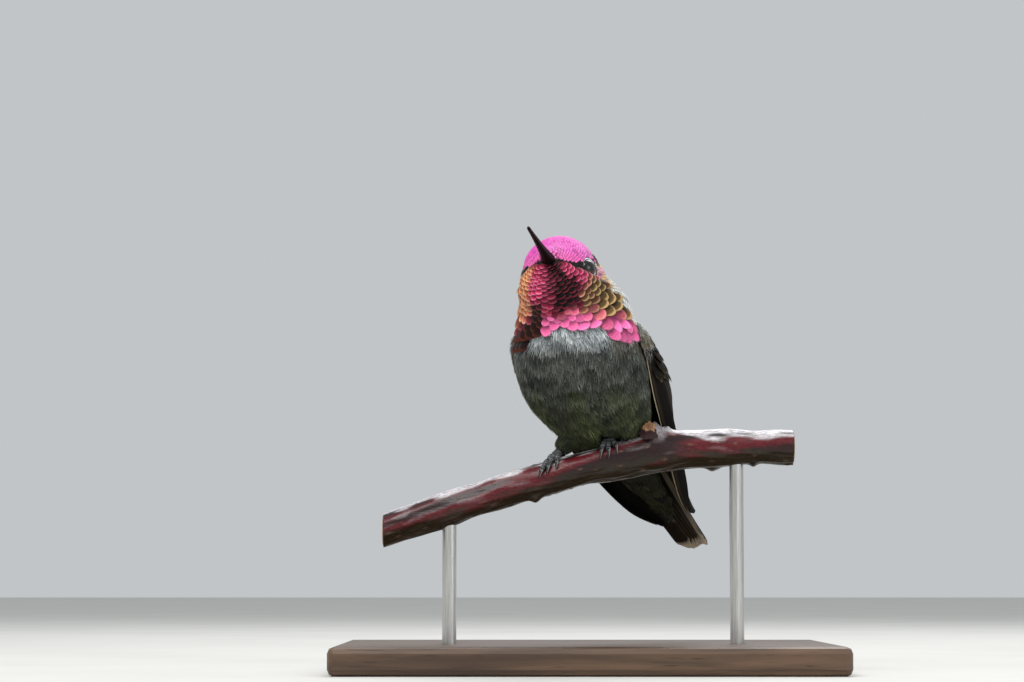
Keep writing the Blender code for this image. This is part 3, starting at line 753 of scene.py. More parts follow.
class Coat:
    """Gathers feathers of one material, and makes them into pieces."""

    MOST = 190_000

    def __init__(self, name, material, slot):
        self.name, self.material, self.slot = name, material, slot
        self.lots = []

    def add(self, shape, spots, colours, rim_from=0.80, root_to=(0.25, 0.62), edge_shadow=0.0, **sizes):
        """colours are the root's, the middle's and the rim's, each one or one for each spot."""
        if not len(spots):
            return
        points = lay(shape, spots, **sizes)
        count = len(points)
        root, middle, rim = (np.broadcast_to(c, (count, 3))[:, None] for c in colours)
        at_root = (1 - ramp(shape.a, *root_to))[None, :, None]
        at_sides = 0.6 * ramp(np.abs(shape.b), 0.8, 1.0) * ramp(shape.a, rim_from - 0.3, rim_from)
        at_rim = np.maximum(ramp(shape.a, rim_from, 0.99), at_sides)
        painted = mix(mix(middle, rim, at_rim[None, :, None]), root, at_root)
        # Each blade's tip and side edges are darkened here, a painted shadow line along them.
        edge = np.maximum(ramp(shape.a, 0.97, 1.0), ramp(np.abs(shape.b), 0.95, 1.0)) * edge_shadow
        painted = painted * (1 - edge)[None, :, None]
        vane = np.stack(np.broadcast_arrays(shape.a[None], shape.b[None], random.random((count, 1))), -1)
        patch = np.stack([shape.b * 0.5, shape.a - 0.5], -1) * BAKE_PATCH
        if isinstance(shape, Barb):
            patch = np.stack([shape.y * 0.3, shape.a - 0.5], -1) * BAKE_PATCH
        bake = spots.bake[:, None] + patch[None]
        self.lots.append((points, painted, vane, bake, shape.faces))

    def make(self):
        """Makes the pieces, each under the most triangles."""
        batches, current, total = [], [], 0
        for points, painted, vane, bake, faces in self.lots:
            start = 0
            while start < len(points):
                room = (self.MOST - total) // len(faces)
                if room <= 0:
                    batches.append(current)
                    current, total = [], 0
                    continue
                end = min(start + room, len(points))
                current.append([part[start:end] for part in (points, painted, vane, bake)] + [faces])
                total += (end - start) * len(faces)
                start = end
        batches.append(current)
        for number, batch in enumerate(batches, 1):
            name = self.name if len(batches) == 1 else f"{self.name}_{number}"
            all_faces, count = [], 0
            for points, _, _, _, faces in batch:
                lots, size = points.shape[:2]
                firsts = np.arange(lots) * size + count
                all_faces.append((faces[None] + firsts[:, None, None]).reshape(-1, 3))
                count += lots * size
            flat = [np.concatenate([lot[k].reshape(-1, lot[k].shape[-1]) for lot in batch]) for k in range(4)]
            make_piece(
                name, flat[0], np.concatenate(all_faces), self.material,
                colours=flat[1], vane=flat[2], bake=flat[3],
            )


# ---------------------------------------------------------------- plumage: the tracts and their colours

CROWN_PINK = srgb(250, 96, 206)
CROWN_LIGHT = srgb(255, 158, 226)
CROWN_SALMON = srgb(248, 112, 168)
CROWN_DEEP = srgb(150, 24, 92)
# The gorget's colours come in pairs: a scale's body, darker as painted shade, and its rim, lighter as a
# painted highlight.
HOT_PINK = srgb(255, 150, 200)
HOT_SHADE = srgb(246, 108, 168)
ROSE = srgb(255, 140, 176)
DIM_ROSE = srgb(134, 36, 54)
WINE = srgb(230, 58, 106)
WINE_BLACK = srgb(10, 3, 5)
SALMON = srgb(255, 158, 160)
SALMON_SHADE = srgb(232, 102, 128)
COPPER = srgb(255, 200, 150)
COPPER_SHADE = srgb(246, 146, 100)
OLD_GOLD = srgb(214, 178, 122)
GOLD_SHADE = srgb(106, 82, 50)
RUSSET = srgb(108, 50, 34)
RUSSET_SHADE = srgb(36, 13, 9)
LORE_DARK = srgb(14, 12, 10)
PALE_GREY = srgb(190, 198, 202)
MID_GREY = srgb(80, 83, 78)
OLIVE_GREY = srgb(72, 78, 52)
OLIVE_GREEN = srgb(76, 84, 46)
NAPE_WHITE = srgb(248, 248, 242)
EAR_BUFF = srgb(250, 204, 158)
BACK_GREEN = srgb(60, 68, 36)
BRONZE = srgb(74, 62, 34)
DUSKY = srgb(24, 20, 16)
BUFF = srgb(150, 132, 100)

CROWN, FACE, GORGET, NAPE, BACK, BREAST, UNDERTAIL, RUMP = range(8)

TAIL_BASE = np.array([10.7, 14.7, -2.5])
TAIL_TIP = np.array([21.9, 27.3, -17.8])
TAIL_AHEAD = unit(TAIL_TIP - TAIL_BASE)
TAIL_SPREAD = np.array([0.68, -0.74, 0.03])
TAIL_LEFT = unit(TAIL_SPREAD - TAIL_AHEAD * (TAIL_SPREAD @ TAIL_AHEAD))
TAIL = np.array([TAIL_AHEAD, TAIL_LEFT, -np.cross(TAIL_AHEAD, TAIL_LEFT)])

COLLAR = (np.array([-5.6, -3.0, 23.6]), unit([-0.10, 0.10, 1.0]))
VENT = (np.array([5.2, 11.0, -0.4]), unit([0.42, 0.52, -0.74]))
NECK_AHEAD, NECK_LEFT, _ = axes_of((20.0, 0.0, 0.0))
NECK_MIDDLE = np.array([-5.4, -4.3, 28.0])


def beyond(points, plane):
    """How far the points lie beyond a plane, along its normal."""
    return (points - plane[0]) @ plane[1]


def neck_side(points):
    """How far the points are to the left of the neck's middle."""
    return (points - NECK_MIDDLE) @ NECK_LEFT


def above_border(points):
    """How far above the gorget's lower border the points are. It hangs down at its two corners."""
    side = neck_side(points)
    drop = 2.2 * ramp(-side, 5.0, 11.5) + 1.6 * ramp(side, 6.0, 11.5)
    return beyond(points, COLLAR) + drop


def before_nape(points):
    """How far in front of the gorget's back border the points are."""
    return points @ NECK_AHEAD - mix(4.6, 7.9, ramp(points[:, 2], 24.0, 30.0))


def from_eyes(points):
    return np.minimum(*(np.linalg.norm(points - EYES[side], axis=1) for side in EYES))


def tracts(points):
    """The feather tract that each point belongs to."""
    place = head_place(points)
    ahead, sideways, up = place[:, 0], np.abs(place[:, 1]), place[:, 2]
    ragged = 0.2 * lumps(points, 1.2, 3)
    lore_up = mix(0.0, 0.85, ramp(sideways, 5.0, 6.1)) + ragged * 0.25
    lore_down = mix(-0.95, -1.7, ramp(sideways, 5.0, 6.2)) + ragged * 0.25
    found = np.full(len(points), NAPE)
    low = above_border(points) + ragged
    throat = (before_nape(points) + ragged > 0) & (low > 0) & (up < lore_down)
    found[throat] = GORGET
    found[(up > lore_up) & (ahead > mix(-1.2, -6.5, ramp(up, 1.5, 7.5)) + ragged)] = CROWN
    found[(up <= lore_up) & (up >= lore_down) & (ahead > -1.0)] = FACE
    found[(from_eyes(points) < EYE_RADIUS + 0.75) & (ahead > -2.6)] = FACE
    below = (low <= 0) & (beyond(points, COLLAR) < 8)
    line, _ = line_place(points)
    dorsal = (points - line) @ TRUNK[2]
    found[below & (dorsal > 3.0)] = BACK
    found[below & (dorsal <= 3.0)] = BREAST
    behind = beyond(points, VENT) > -1.0
    found[behind & ((points - TAIL_BASE) @ TAIL[2] < 0.5)] = UNDERTAIL
    found[behind & ((points - TAIL_BASE) @ TAIL[2] >= 0.5)] = RUMP
    return found


def crown_colours(points):
    place = head_place(points)
    tone = 0.5 + 0.5 * lumps(points, 5.0, 5)
    main = mix(CROWN_PINK, CROWN_LIGHT, (0.45 * tone)[:, None])
    low = 1 - ramp(place[:, 2], 0.2, 3.4)
    main = mix(main, CROWN_SALMON, (0.55 * low)[:, None])
    streaks = ramp(lumps(points, 1.0, 6) + 0.6 * lumps(points, 0.5, 7), 0.35, 1.1)
    main = mix(main, CROWN_DEEP, (0.42 * streaks)[:, None]) * np.exp(jitter(len(points), 0.09))[:, None]
    # The root is darkened as painted shade under the feathers that cover it, and the rim is lightened towards
    # CROWN_LIGHT as a painted sheen.
    return CROWN_DEEP * 0.5, main * 0.90, mix(main, CROWN_LIGHT, 0.30)


def gorget_colours(points):
    """Rose at the chin, nearly black in the middle, copper and gold at the sides, hot pink at the border.
    These are painted reflections: the iridescent feathers' colours, fixed to their places as they look from
    the front.
    """
    side = neck_side(points)
    high = above_border(points)
    up = head_place(points)[:, 2]
    patchy = 0.8 * lumps(points, 2.6, 31)
    # The nearly black middle is painted shade where the throat turns down and its iridescence goes dark.
    spread_of = mix(1.5, 4.0, ramp(-up, 2.2, 6.5))
    core = mix(-0.9, 2.2, ramp(-up, 2.4, 5.0))
    dark = 1.15 * np.exp(-(((side - core + patchy) / spread_of) ** 2)) * ramp(-up, 0.0, 1.6)
    zones = [
        (dark.clip(0, 1), WINE_BLACK, DIM_ROSE),
        (ramp(side + patchy, 4.4, 6.4) * ramp(-up, 1.6, 3.6), GOLD_SHADE, OLD_GOLD),
        (ramp(-side + patchy, 4.6, 7.0) * ramp(high, 3.5, 7.0), COPPER_SHADE, COPPER),
        (ramp(-side, 1.0, 4.2) * (1 - ramp(high + 1.5 * patchy, 3.6, 6.8)), RUSSET_SHADE, RUSSET),
        ((1 - ramp(high + patchy, 2.6, 4.2)) * ramp(side, -1.0, 2.0), SALMON_SHADE, SALMON),
        ((1 - ramp(high + patchy, 2.0, 3.2)) * ramp(side, -4.6, -2.6), HOT_SHADE, HOT_PINK),
    ]
    body = np.broadcast_to(WINE, points.shape)
    rim = np.broadcast_to(ROSE, points.shape)
    for share, zone_body, zone_rim in zones:
        body = mix(body, zone_body, share[:, None])
        rim = mix(rim, zone_rim, share[:, None])
    # Further above the border the bodies are dimmed as painted shade and the rims brightened as painted
    # highlights.
    body = body * mix(1.0, 0.62, ramp(high, 2.5, 5.5))[:, None]
    rim = (rim * mix(1.0, 1.25, ramp(high, 2.5, 5.5))[:, None]).clip(0, 1)
    tone = np.exp(0.22 * lumps(points, 0.9, 32) + jitter(len(points), 0.12))[:, None]
    # The root colour is painted shadow in the gaps under the next row.
    return mix(WINE_BLACK, body, 0.35), body * tone, rim * tone


def body_colours(points):
    """Grey below, paler at the breast's top, with dull green flanks and back. The paler top is partly the
    feathers' own colour and partly painted light, and the dimming low down is painted shade under the belly.
    """
    tone = 0.28 * lumps(points * [1.0, 1.0, 1.2], 2.8, 8) + 0.30 * lumps(points * [1, 1, 0.6], 1.3, 18)
    height = points[:, 2]
    top = ramp(height, 18.0, 24.0)[:, None]
    low = (1 - ramp(height, 1.0, 15.0))[:, None]
    grey = mix(mix(MID_GREY, PALE_GREY, top), OLIVE_GREY, low)
    grey = grey * (1 + tone * mix(1.3, 0.8, top[:, 0]))[:, None]
    tint = (ramp(lumps(points, 3.4, 28), 0.2, 0.8) * (1 - ramp(height, 8, 17)) * 0.45)[:, None]
    # The last factor dims the grey low down as painted shade under the belly.
    grey = mix(grey, OLIVE_GREEN, tint) * mix(0.78, 1.0, ramp(height, 1.0, 9.0))[:, None]
    corner = ramp(neck_side(points), 9.6, 12.0) * ramp(height, 18.0, 21.5)
    grey = mix(grey, BUFF * 0.6, (corner * (0.6 + 0.5 * lumps(points, 0.9, 19)).clip(0, 1))[:, None])
    line, _ = line_place(points)
    flank = ramp((points - line) @ TRUNK[2], 0.0, 5.0)[:, None]
    green = mix(BACK_GREEN, BRONZE, (0.5 + 0.5 * lumps(points, 3.0, 9))[:, None])
    return mix(grey, green, flank)


def nape_colours(points):
    """A pale line behind the gorget, and bronze green behind it, with a warm edge behind each eye."""
    place = head_place(points)
    front = before_nape(points)
    white = ramp(front + 0.7 * lumps(points * [1, 1, 0.6], 0.9, 14), -7.3, -5.2)
    white = white * (1 - ramp(place[:, 2], 0.2, 2.4)) * ramp(points[:, 2], 21.0, 25.0)
    green = mix(BACK_GREEN, BRONZE, (0.5 + 0.5 * lumps(points, 2.0, 12))[:, None])
    dusk = ramp(lumps(points * [1, 1, 0.5], 1.1, 13), 0.1, 0.8) * (1 - ramp(points[:, 2], 24.5, 27.5)) * 0.8
    main = mix(green, NAPE_WHITE, (0.95 * white * (1 - dusk))[:, None])
    warm = ramp(place[:, 2], -3.4, -2.0) * (1 - ramp(place[:, 2], 1.6, 2.8)) * ramp(place[:, 0], -5.5, -4.0)
    main = mix(main, EAR_BUFF, (0.9 * warm)[:, None])
    for way in (1, -1):
        spot = BROW + HEAD.T @ [-1.6, 8.4 * way, -1.2]
        near = 1 - ramp(np.linalg.norm((points - spot) * [1, 1, 0.7], axis=1), 1.1, 1.9)
        main = mix(main, CROWN_LIGHT, near[:, None])
    return main


def spread(mask_of, first, last, pitch, spacing, length):
    """Spots in rows whose visible part is where the mask says. length may depend on from_bill."""
    spots = Spots(rows_between(first, last, pitch, spacing))
    shown = spots.shown(length(spots.from_bill) if callable(length) else length)
    keep = mask_of(shown)
    return spots.kept(keep), shown[keep]


def jitter(count, amount):
    return random.normal(size=count) * amount


def build_crown(material):
    coat = Coat("coat_crown", material, "crown_feathers")
    spots, shown = spread(
        lambda p: (tracts(p) == CROWN) & (from_eyes(p) > EYE_RADIUS + 0.55),
        0.1, 22.0, lambda u: 0.33 + 0.010 * u, lambda p: np.full(len(p), 0.60), 1.0,
    )
    count = len(spots)
    size = 1 + 0.02 * spots.from_bill
    # The darkened edges paint shadow lines between the rows.
    coat.add(
        Vane(5, 4, blunt=0.15, rounding=0.30), spots, crown_colours(shown), edge_shadow=0.7,
        length=1.15 * size * (1 + jitter(count, 0.03)), width=0.86 * size, rise=0.15, tilt=0.05,
        cup=0.04, yaw=jitter(count, 0.05), roll=jitter(count, 0.02), thick=0.03,
    )
    coat.make()


def build_gorget(material):
    """Scales in rows, small at the chin and large at the border, each with a bright rim as a painted
    highlight, its root dark as painted shadow from the row over it, and its edge darkened as a painted shadow
    line.
    """
    coat = Coat("coat_gorget", material, "gorget_feathers")
    spacing = ((0, 4, 8, 14), (0.85, 1.30, 1.90, 2.6))
    pitches = ((0, 4, 8, 11, 16), (0.36, 0.40, 0.52, 0.84, 1.15))
    spots, shown = spread(
        lambda p: (tracts(p) == GORGET) & (from_eyes(p) > EYE_RADIUS + 0.6),
        0.2, 27.0, lambda u: np.interp(u, *pitches),
        lambda p: np.interp(np.linalg.norm(p - BILL_BASE, axis=1), *spacing),
        lambda u: 1.9 * np.interp(u, *spacing),
    )
    tips = spots.shown(1.65 * np.interp(spots.from_bill, *spacing), 1.0, 0.0)
    flush = np.linalg.norm(SKIN.nearest(tips)[0] - tips, axis=1) < 0.40
    spots, shown = spots.kept(flush), shown[flush]
    large = spots.from_bill > 10.5
    for mask, root_to in ((~large, (0.60, 0.84)), (large, (0.56, 0.82))):
        some, at = spots.kept(mask), shown[mask]
        count = len(some)
        size = np.interp(some.from_bill, *spacing)
        corner = ramp(neck_side(at), 7.0, 11.0) * (1 - ramp(above_border(at), 2.0, 6.0))
        coat.add(
            Vane(12, 10, blunt=0.06, rounding=0.22, full_from=0.85), some, gorget_colours(at),
            rim_from=0.86, root_to=root_to, edge_shadow=0.55,
            length=1.65 * size * (1 + 0.45 * corner + jitter(count, 0.04)),
            width=1.40 * size * (1 - 0.35 * corner + jitter(count, 0.05)),
            rise=0.26 * size**0.7, tilt=0.20, cup=0.13,
            yaw=jitter(count, 0.08), roll=jitter(count, 0.06), thick=0.04,
        )
    coat.make()


def build_face(material):
    """Tiny dark feathers between bill and eye, and a pale broken ring round the eye."""
    coat = Coat("coat_face", material, "crown_feathers")
    spots, shown = spread(
        lambda p: (tracts(p) == FACE) & (from_eyes(p) > EYE_RADIUS + 0.2),
        0.1, 14.0, lambda u: 0.26, lambda p: np.full(len(p), 0.36), 0.7,
    )
    count = len(spots)
    tone = (0.5 + 0.5 * lumps(shown, 0.8, 21))[:, None]
    dark = mix(LORE_DARK, LORE_DARK * 3.0, tone * 0.6)
    place = head_place(shown)
    ring = 1 - ramp(from_eyes(shown), EYE_RADIUS + 0.60, EYE_RADIUS + 0.90)
    behind = np.maximum(1 - ramp(place[:, 0], -0.6, 0.9), ramp(place[:, 2], 1.0, 1.7))
    dark = mix(dark, NAPE_WHITE, (ring * behind * 0.55)[:, None])
    coat.add(
        Vane(3, 2, blunt=0.6, rounding=0.1), spots, (dark * 0.5, dark, dark * 1.2),
        length=0.72 * (1 + jitter(count, 0.1)), width=0.36, rise=0.12, tilt=0.06,
        cup=0.05, yaw=jitter(count, 0.15), thick=0.025,
    )
    coat.make()


def add_tufts(coat, spots, colours, vane_shape, barbs, length, width, rise, barb_width, splay=0.3):
    """Soft feathers: a vane with loose barbs over and beyond its tip."""
    count = len(spots)
    root, middle, rim = (np.broadcast_to(c, (count, 3)) for c in colours)
    coat.add(
        vane_shape, spots, (root, root * 0.5 + middle * 0.5, root * 0.3 + middle * 0.7), length=length * 0.84,
        width=width, rise=rise * 0.7, cup=0.06, yaw=jitter(count, 0.10), roll=jitter(count, 0.06),
    )
    many = np.repeat(np.arange(count), barbs)
    across = np.tile(np.linspace(-1, 1, barbs), count) + jitter(len(many), 0.14)
    each = spots.kept(many)
    tone = np.exp(jitter(len(many), 0.42))[:, None]
    reach = np.broadcast_to(length, (count,))[many]
    wide = np.broadcast_to(width, (count,))[many]
    coat.add(
        Barb(), each, (root[many] * tone, middle[many] * tone, rim[many] * tone),
        length=reach * (1.0 - 0.16 * across**2) * (1 + jitter(len(many), 0.09)), width=barb_width,
        rise=np.broadcast_to(rise, (count,))[many] * (1 + jitter(len(many), 0.14)),
        curl=0.02, yaw=splay * across + jitter(len(many), 0.06), shift=across * wide * 0.30, thick=0.04,
    )


def clear_of_solids(points):
    """Whether each point is outside the folded wings and the branch."""
    clear = np.ones(len(points), bool)
    for tree, margin in BLOCKERS:
        for i, place in enumerate(points.tolist()):
            if clear[i]:
                spot, normal, _, distance = tree.find_nearest(place)
                if distance < margin or (Vector(place) - spot).dot(normal) < 0:
                    clear[i] = False
    return clear


def solid_tree(name):
    return BVHTree.FromPolygons(node_points(name).tolist(), triangles_of(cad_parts[name].data).tolist())


# The solids that the coat keeps clear of, each with a margin
MARGINS = {"wing_left": 0.05, "wing_right": 0.05, "perch_branch": 0.1}
BLOCKERS = [(solid_tree(name), margin) for name, margin in MARGINS.items()]


def build_body(material):
    coat = Coat("coat_body", material, "body_feathers")
    length = 3.3
    spots, shown = spread(
        lambda p: (tracts(p) == BREAST) & clear_of_solids(p),
        8.0, 62.0, lambda u: 1.05, lambda p: np.full(len(p), 1.25), length,
    )
    main = body_colours(shown) * np.exp(jitter(len(spots), 0.20))[:, None]
    top = ramp(shown[:, 2], 14, 21)[:, None]
    # Dark roots and bright barb tips: partly the feathers' own pale fringes, partly painted shade between the
    # tufts and painted light on their tips.
    add_tufts(
        coat, spots, (main * 0.16, main * 0.95, main * mix(2.3, 1.6, top)), Vane(4, 3, blunt=0.5), 15,
        length * (1 + jitter(len(spots), 0.10)), 1.9, 0.70 * (1 + jitter(len(spots), 0.12)), barb_width=0.125,
    )
    coat.make()


def build_back(material):
    coat = Coat("coat_back", material, "nape_feathers")
    spots, shown = spread(
        lambda p: (
            np.isin(tracts(p), (NAPE, BACK, RUMP)) & clear_of_solids(p) & (from_eyes(p) > EYE_RADIUS + 0.5)
        ),
        2.0, 70.0, lambda u: np.interp(u, [0, 8, 20], [0.5, 0.9, 1.25]),
        lambda p: np.interp(np.linalg.norm(p - BROW, axis=1), [5, 9, 20], [0.7, 1.2, 1.8]), 2.2,
    )
    size = np.interp(spots.from_bill, [0, 8, 20], [0.45, 0.75, 1.1])
    kind = tracts(shown)
    below = 1 - ramp(head_place(shown)[:, 2], -4.0, -1.0)
    bulge = (kind == NAPE) * ramp(before_nape(shown), -5.0, -2.0) * below
    main = np.where((kind == NAPE)[:, None], nape_colours(shown), body_colours(shown))
    paleness = ramp(main.mean(1), 0.15, 0.6)
    pale = paleness[:, None]
    main = main * np.exp(jitter(len(spots), 0.08))[:, None]
    # The roots are darkened as painted shade and the rims lightened as painted light that makes up for the
    # tufts' self-shadow.
    add_tufts(
        coat, spots, (main * mix(0.45, 0.62, pale), main * mix(1.0, 0.92, pale), main * mix(1.35, 1.1, pale)),
        Vane(5, 4, blunt=0.45), 11,
        2.6 * size * (1 + 0.5 * bulge + jitter(len(spots), 0.06 + 0.09 * paleness)),
        2.1 * size * (1 - 0.35 * bulge) * (1 - 0.35 * paleness), 0.45 * size**0.5 + 0.75 * bulge,
        barb_width=0.10, splay=0.20,
    )
    coat.make()


def build_undertail(material):
    coat = Coat("coat_undertail", material, "body_feathers")
    spots, shown = spread(
        lambda p: tracts(p) == UNDERTAIL, 30.0, 75.0, lambda u: 1.4, lambda p: np.full(len(p), 1.6), 3.0,
    )
    sides = spots.normal @ TAIL_AHEAD < 0.45
    spots, shown = spots.kept(sides), shown[sides]
    tone = 0.5 + 0.5 * lumps(shown, 2.2, 61)[:, None]
    green = mix(DUSKY * 0.8, BACK_GREEN * 0.8, tone)
    add_tufts(
        coat, spots, (green * 0.5, green, mix(green, BUFF, 0.15)), Vane(6, 5, blunt=0.55), 9,
        3.7 * (1 + jitter(len(spots), 0.06)), 2.4, 0.5, barb_width=0.10, splay=0.2,
    )
    coat.make()


def build_skin_piece(material):
    # The skin shows only in the gaps between feathers, so it takes the plumage's colours dimmed, as painted
    # shade.
    kinds = tracts(SKIN.points)
    colours = body_colours(SKIN.points) * 0.4
    for kind, painter in ((CROWN, crown_colours), (GORGET, gorget_colours)):
        mine = kinds == kind
        colours[mine] = painter(SKIN.points[mine])[1] * 0.4
    mine = kinds == NAPE
    colours[mine] = nape_colours(SKIN.points[mine]) * 0.4
    colours[kinds == FACE] = LORE_DARK * 0.6
    make_piece("skin", SKIN.points, SKIN.triangles, material, FLESH, colours=colours)


def build_shoulders(material):
    """Loose feathers that hang from the gorget's corners and the flanks over each folded wing's front."""
    coat = Coat("coat_shoulders", material, "body_feathers")
    for side, (reach, width) in {"left": (0.15, 0.80), "right": (0.42, 0.34)}.items():
        surface = WINGS[side]
        rows = int(reach / 0.024)
        along, across = np.meshgrid(np.linspace(0.0, reach, rows), np.linspace(0.0, 1.0, 22), indexing="ij")
        across = across + np.where(np.arange(rows) % 2, 0.022, 0.0)[:, None]
        keep = ((along / reach) ** 2 + (across / width) ** 2 < 1.02) | (along < 0.11)
        across = across.clip(0, 1)
        spots = Spots(on_grid(surface.grid, along[keep], across[keep]), surface)
        shown = spots.shown(3.5)
        tip = (0.5 + 0.5 * lumps(shown, 1.3, 41))[:, None]
        if side == "left":
            main = mix(DUSKY * 1.5, BRONZE * 0.9, tip)
            high = (ramp(shown[:, 2], 23.0, 26.0) * (1 - ramp(across[keep], 0.25, 0.5)))[:, None]
            main = mix(main, NAPE_WHITE, high * ramp(tip, 0.1, 0.5))
            fan = ramp(shown[:, 2], 17.5, 20.0) * (1 - ramp(across[keep], 0.30, 0.45))
            main = mix(main, BUFF * 0.7, (0.7 * fan)[:, None] * tip)
            fan = (0.75 * fan)[:, None]
            pale = mix(mix(main, PALE_GREY, 0.35 + 0.5 * tip), PALE_GREY, fan)
        else:
            high = ramp(shown[:, 2], 20.0, 23.0)[:, None]
            main = mix(mix(body_colours(shown), MID_GREY, 0.6) * mix(0.7, 1.1, tip), DUSKY * 1.5, high)
            pale = main * mix(1.7, 2.4, high)
        green = ramp(across[keep], 0.35, 0.6)[:, None]
        main = mix(main, mix(BACK_GREEN, BRONZE, tip), green)
        pale = mix(pale, main * 1.5, green)
        add_tufts(
            coat, spots, (main * 0.35, main, pale), Vane(5, 4, blunt=0.5), 15,
            3.8 * (1 + jitter(len(spots), 0.12)), 2.1, 0.75, barb_width=0.11,
        )
    coat.make()


# ---------------------------------------------------------------- wings and tail

# The folded wing's front edge, outer ridge and rear edge, from the shoulder to the tip
WING_LINES = {
    "left": (
        [(4.7, -5.9, 26.5), (7.9, -7.2, 20.9), (11.0, -3.0, 13.0), (13.4, 3.0, 5.5),
         (16.2, 10.4, -4.9), (18.8, 17.0, -12.0), (21.6, 21.6, -13.1)],
        [(4.2, 0.6, 27.7), (10.3, 0.3, 22.0), (14.3, 3.0, 13.2), (15.8, 7.0, 5.0),
         (17.8, 13.0, -4.0), (20.2, 18.3, -10.3), (21.6, 21.7, -12.9)],
        [(4.4, 5.5, 30.0), (7.0, 7.8, 24.0), (7.6, 11.0, 14.0), (9.6, 13.0, 6.4),
         (12.6, 15.4, -0.8), (17.6, 20.2, -8.2), (21.5, 21.8, -12.7)],
    ),
    "right": (
        [(-15.4, 2.4, 27.6), (-18.4, 4.2, 21.6), (-15.2, 9.2, 13.4), (-8.6, 13.4, 4.0),
         (2.2, 18.2, -8.7), (9.4, 22.4, -14.1), (15.8, 25.2, -16.2)],
        [(-13.0, 8.6, 28.4), (-14.8, 11.2, 21.8), (-12.0, 15.0, 13.4), (-4.4, 17.6, 4.0),
         (4.6, 21.2, -6.8), (10.6, 24.2, -12.3), (15.9, 25.4, -16.0)],
        [(-5.0, 11.4, 29.4), (-3.6, 13.4, 23.6), (-0.2, 15.0, 13.8), (3.6, 16.6, 6.4),
         (10.8, 18.8, -1.4), (11.7, 23.6, -10.6), (16.0, 25.6, -15.8)],
    ),
}
TRUNK_CORE = np.array([1.4, 6.6, 9.6])
WING_GRID = (60, 16)
QUILL_STEPS = 26
PRIMARIES = 10
SECONDARIES = 6
RECTRICES = 10
TAIL_REACH = 25.0
WING_DARK = srgb(9, 8, 6)
LEADING_EDGE = srgb(236, 218, 184)
SHAFT = srgb(70, 58, 44)
TAIL_DARK = srgb(30, 26, 20)
WORN = srgb(206, 192, 170)


def on_grid(grid, along, across):
    """Places on a grid of points, at shares along its two ways."""
    r, c = (np.clip(share, 0, 1) * (size - 1) for share, size in zip((along, across), grid.shape[:2]))
    i, j = np.minimum(r.astype(int), grid.shape[0] - 2), np.minimum(c.astype(int), grid.shape[1] - 2)
    u, v = (r - i)[..., None], (c - j)[..., None]
    near = mix(grid[i, j], grid[i, j + 1], v)
    return mix(near, mix(grid[i + 1, j], grid[i + 1, j + 1], v), u)


def grid_normals(grid, away_from):
    normals = unit(np.cross(np.gradient(grid, axis=0), np.gradient(grid, axis=1)))
    return normals * np.sign(((grid - away_from) * normals).sum(-1).mean())


def ease(grid, rounds):
    """Smooths a grid of points in place, first down and then across it."""
    for _ in range(rounds):
        grid[1:-1] = (grid[1:-1] * 2 + grid[:-2] + grid[2:]) / 4
        grid[:, 1:-1] = (grid[:, 1:-1] * 2 + grid[:, :-2] + grid[:, 2:]) / 4


def wing_surface(side):
    """The outer side of the folded wing, with feathers that lie towards its tip."""
    rows, columns = WING_GRID
    along, t = np.linspace(0, 0.965, rows), np.linspace(0, 1, columns)[None, :, None]
    front, ridge, rear = (smooth_curve(line, along)[:, None] for line in WING_LINES[side])
    grid = front * (1 - t) ** 2 + (2 * ridge - (front + rear) / 2) * 2 * t * (1 - t) + rear * t**2
    normals = grid_normals(grid, TRUNK_CORE)
    solid = solid_tree(f"wing_{side}")
    outer = grid.copy()
    for index in np.ndindex(rows, columns):
        start, way = grid[index] + normals[index] * 5, -normals[index]
        hit = solid.ray_cast(Vector(start.tolist()), Vector(way.tolist()), 8)[0]
        outer[index] = hit if hit is not None else solid.find_nearest(Vector(grid[index].tolist()))[0]
    ease(outer, 4)
    # The shoulder and the upper half of the rear edge lie on the body
    where = SKIN.nearest(outer.reshape(-1, 3))
    lifted = mix(-0.5, 0.9, ramp(along, 0.0, 0.14))[:, None, None]
    normals = unit(SKIN.read(SKIN.normals, where)).reshape(outer.shape)
    on_body = where[0].reshape(outer.shape) + normals * lifted
    inward = ramp(t, 0.5, 0.95) * (1 - ramp(along, 0.48, 0.72))[:, None, None]
    outer = mix(outer, on_body, np.maximum(inward, (1 - ramp(along, 0.0, 0.17))[:, None, None]))
    ease(outer, 3)
    faces = halved(cell_corners(grid_numbers(rows, columns)))
    normals = grid_normals(outer, TRUNK_CORE)
    if (np.cross(outer[1, 0] - outer[0, 0], outer[0, 1] - outer[0, 0]) * normals[0, 0]).sum() < 0:
        faces = faces[:, ::-1]
    surface = Surface(outer.reshape(-1, 3), faces)
    surface.flow = unit(np.gradient(outer, axis=0)).reshape(-1, 3)
    surface.grid, surface.out = outer, normals
    return surface


WINGS = {side: wing_surface(side) for side in WING_LINES}


def quill(shape, path, out, half, thick=0.05, camber=0.10):
    """One long feather on a line of places, with its outer and inner half widths."""
    def along(values):
        return read_along(values, np.linspace(0, 1, len(path)), shape.x)

    normal = unit(along(out))
    side = unit(np.cross(normal, along(np.gradient(path, axis=0))))
    width = np.where(shape.y < 0, half[0], half[1])
    lift = thick * (shape.through + 1.6 * shape.ridge**3) - camber * width * shape.y**2
    return along(path) + side * (shape.y * width)[:, None] + normal * lift[:, None]


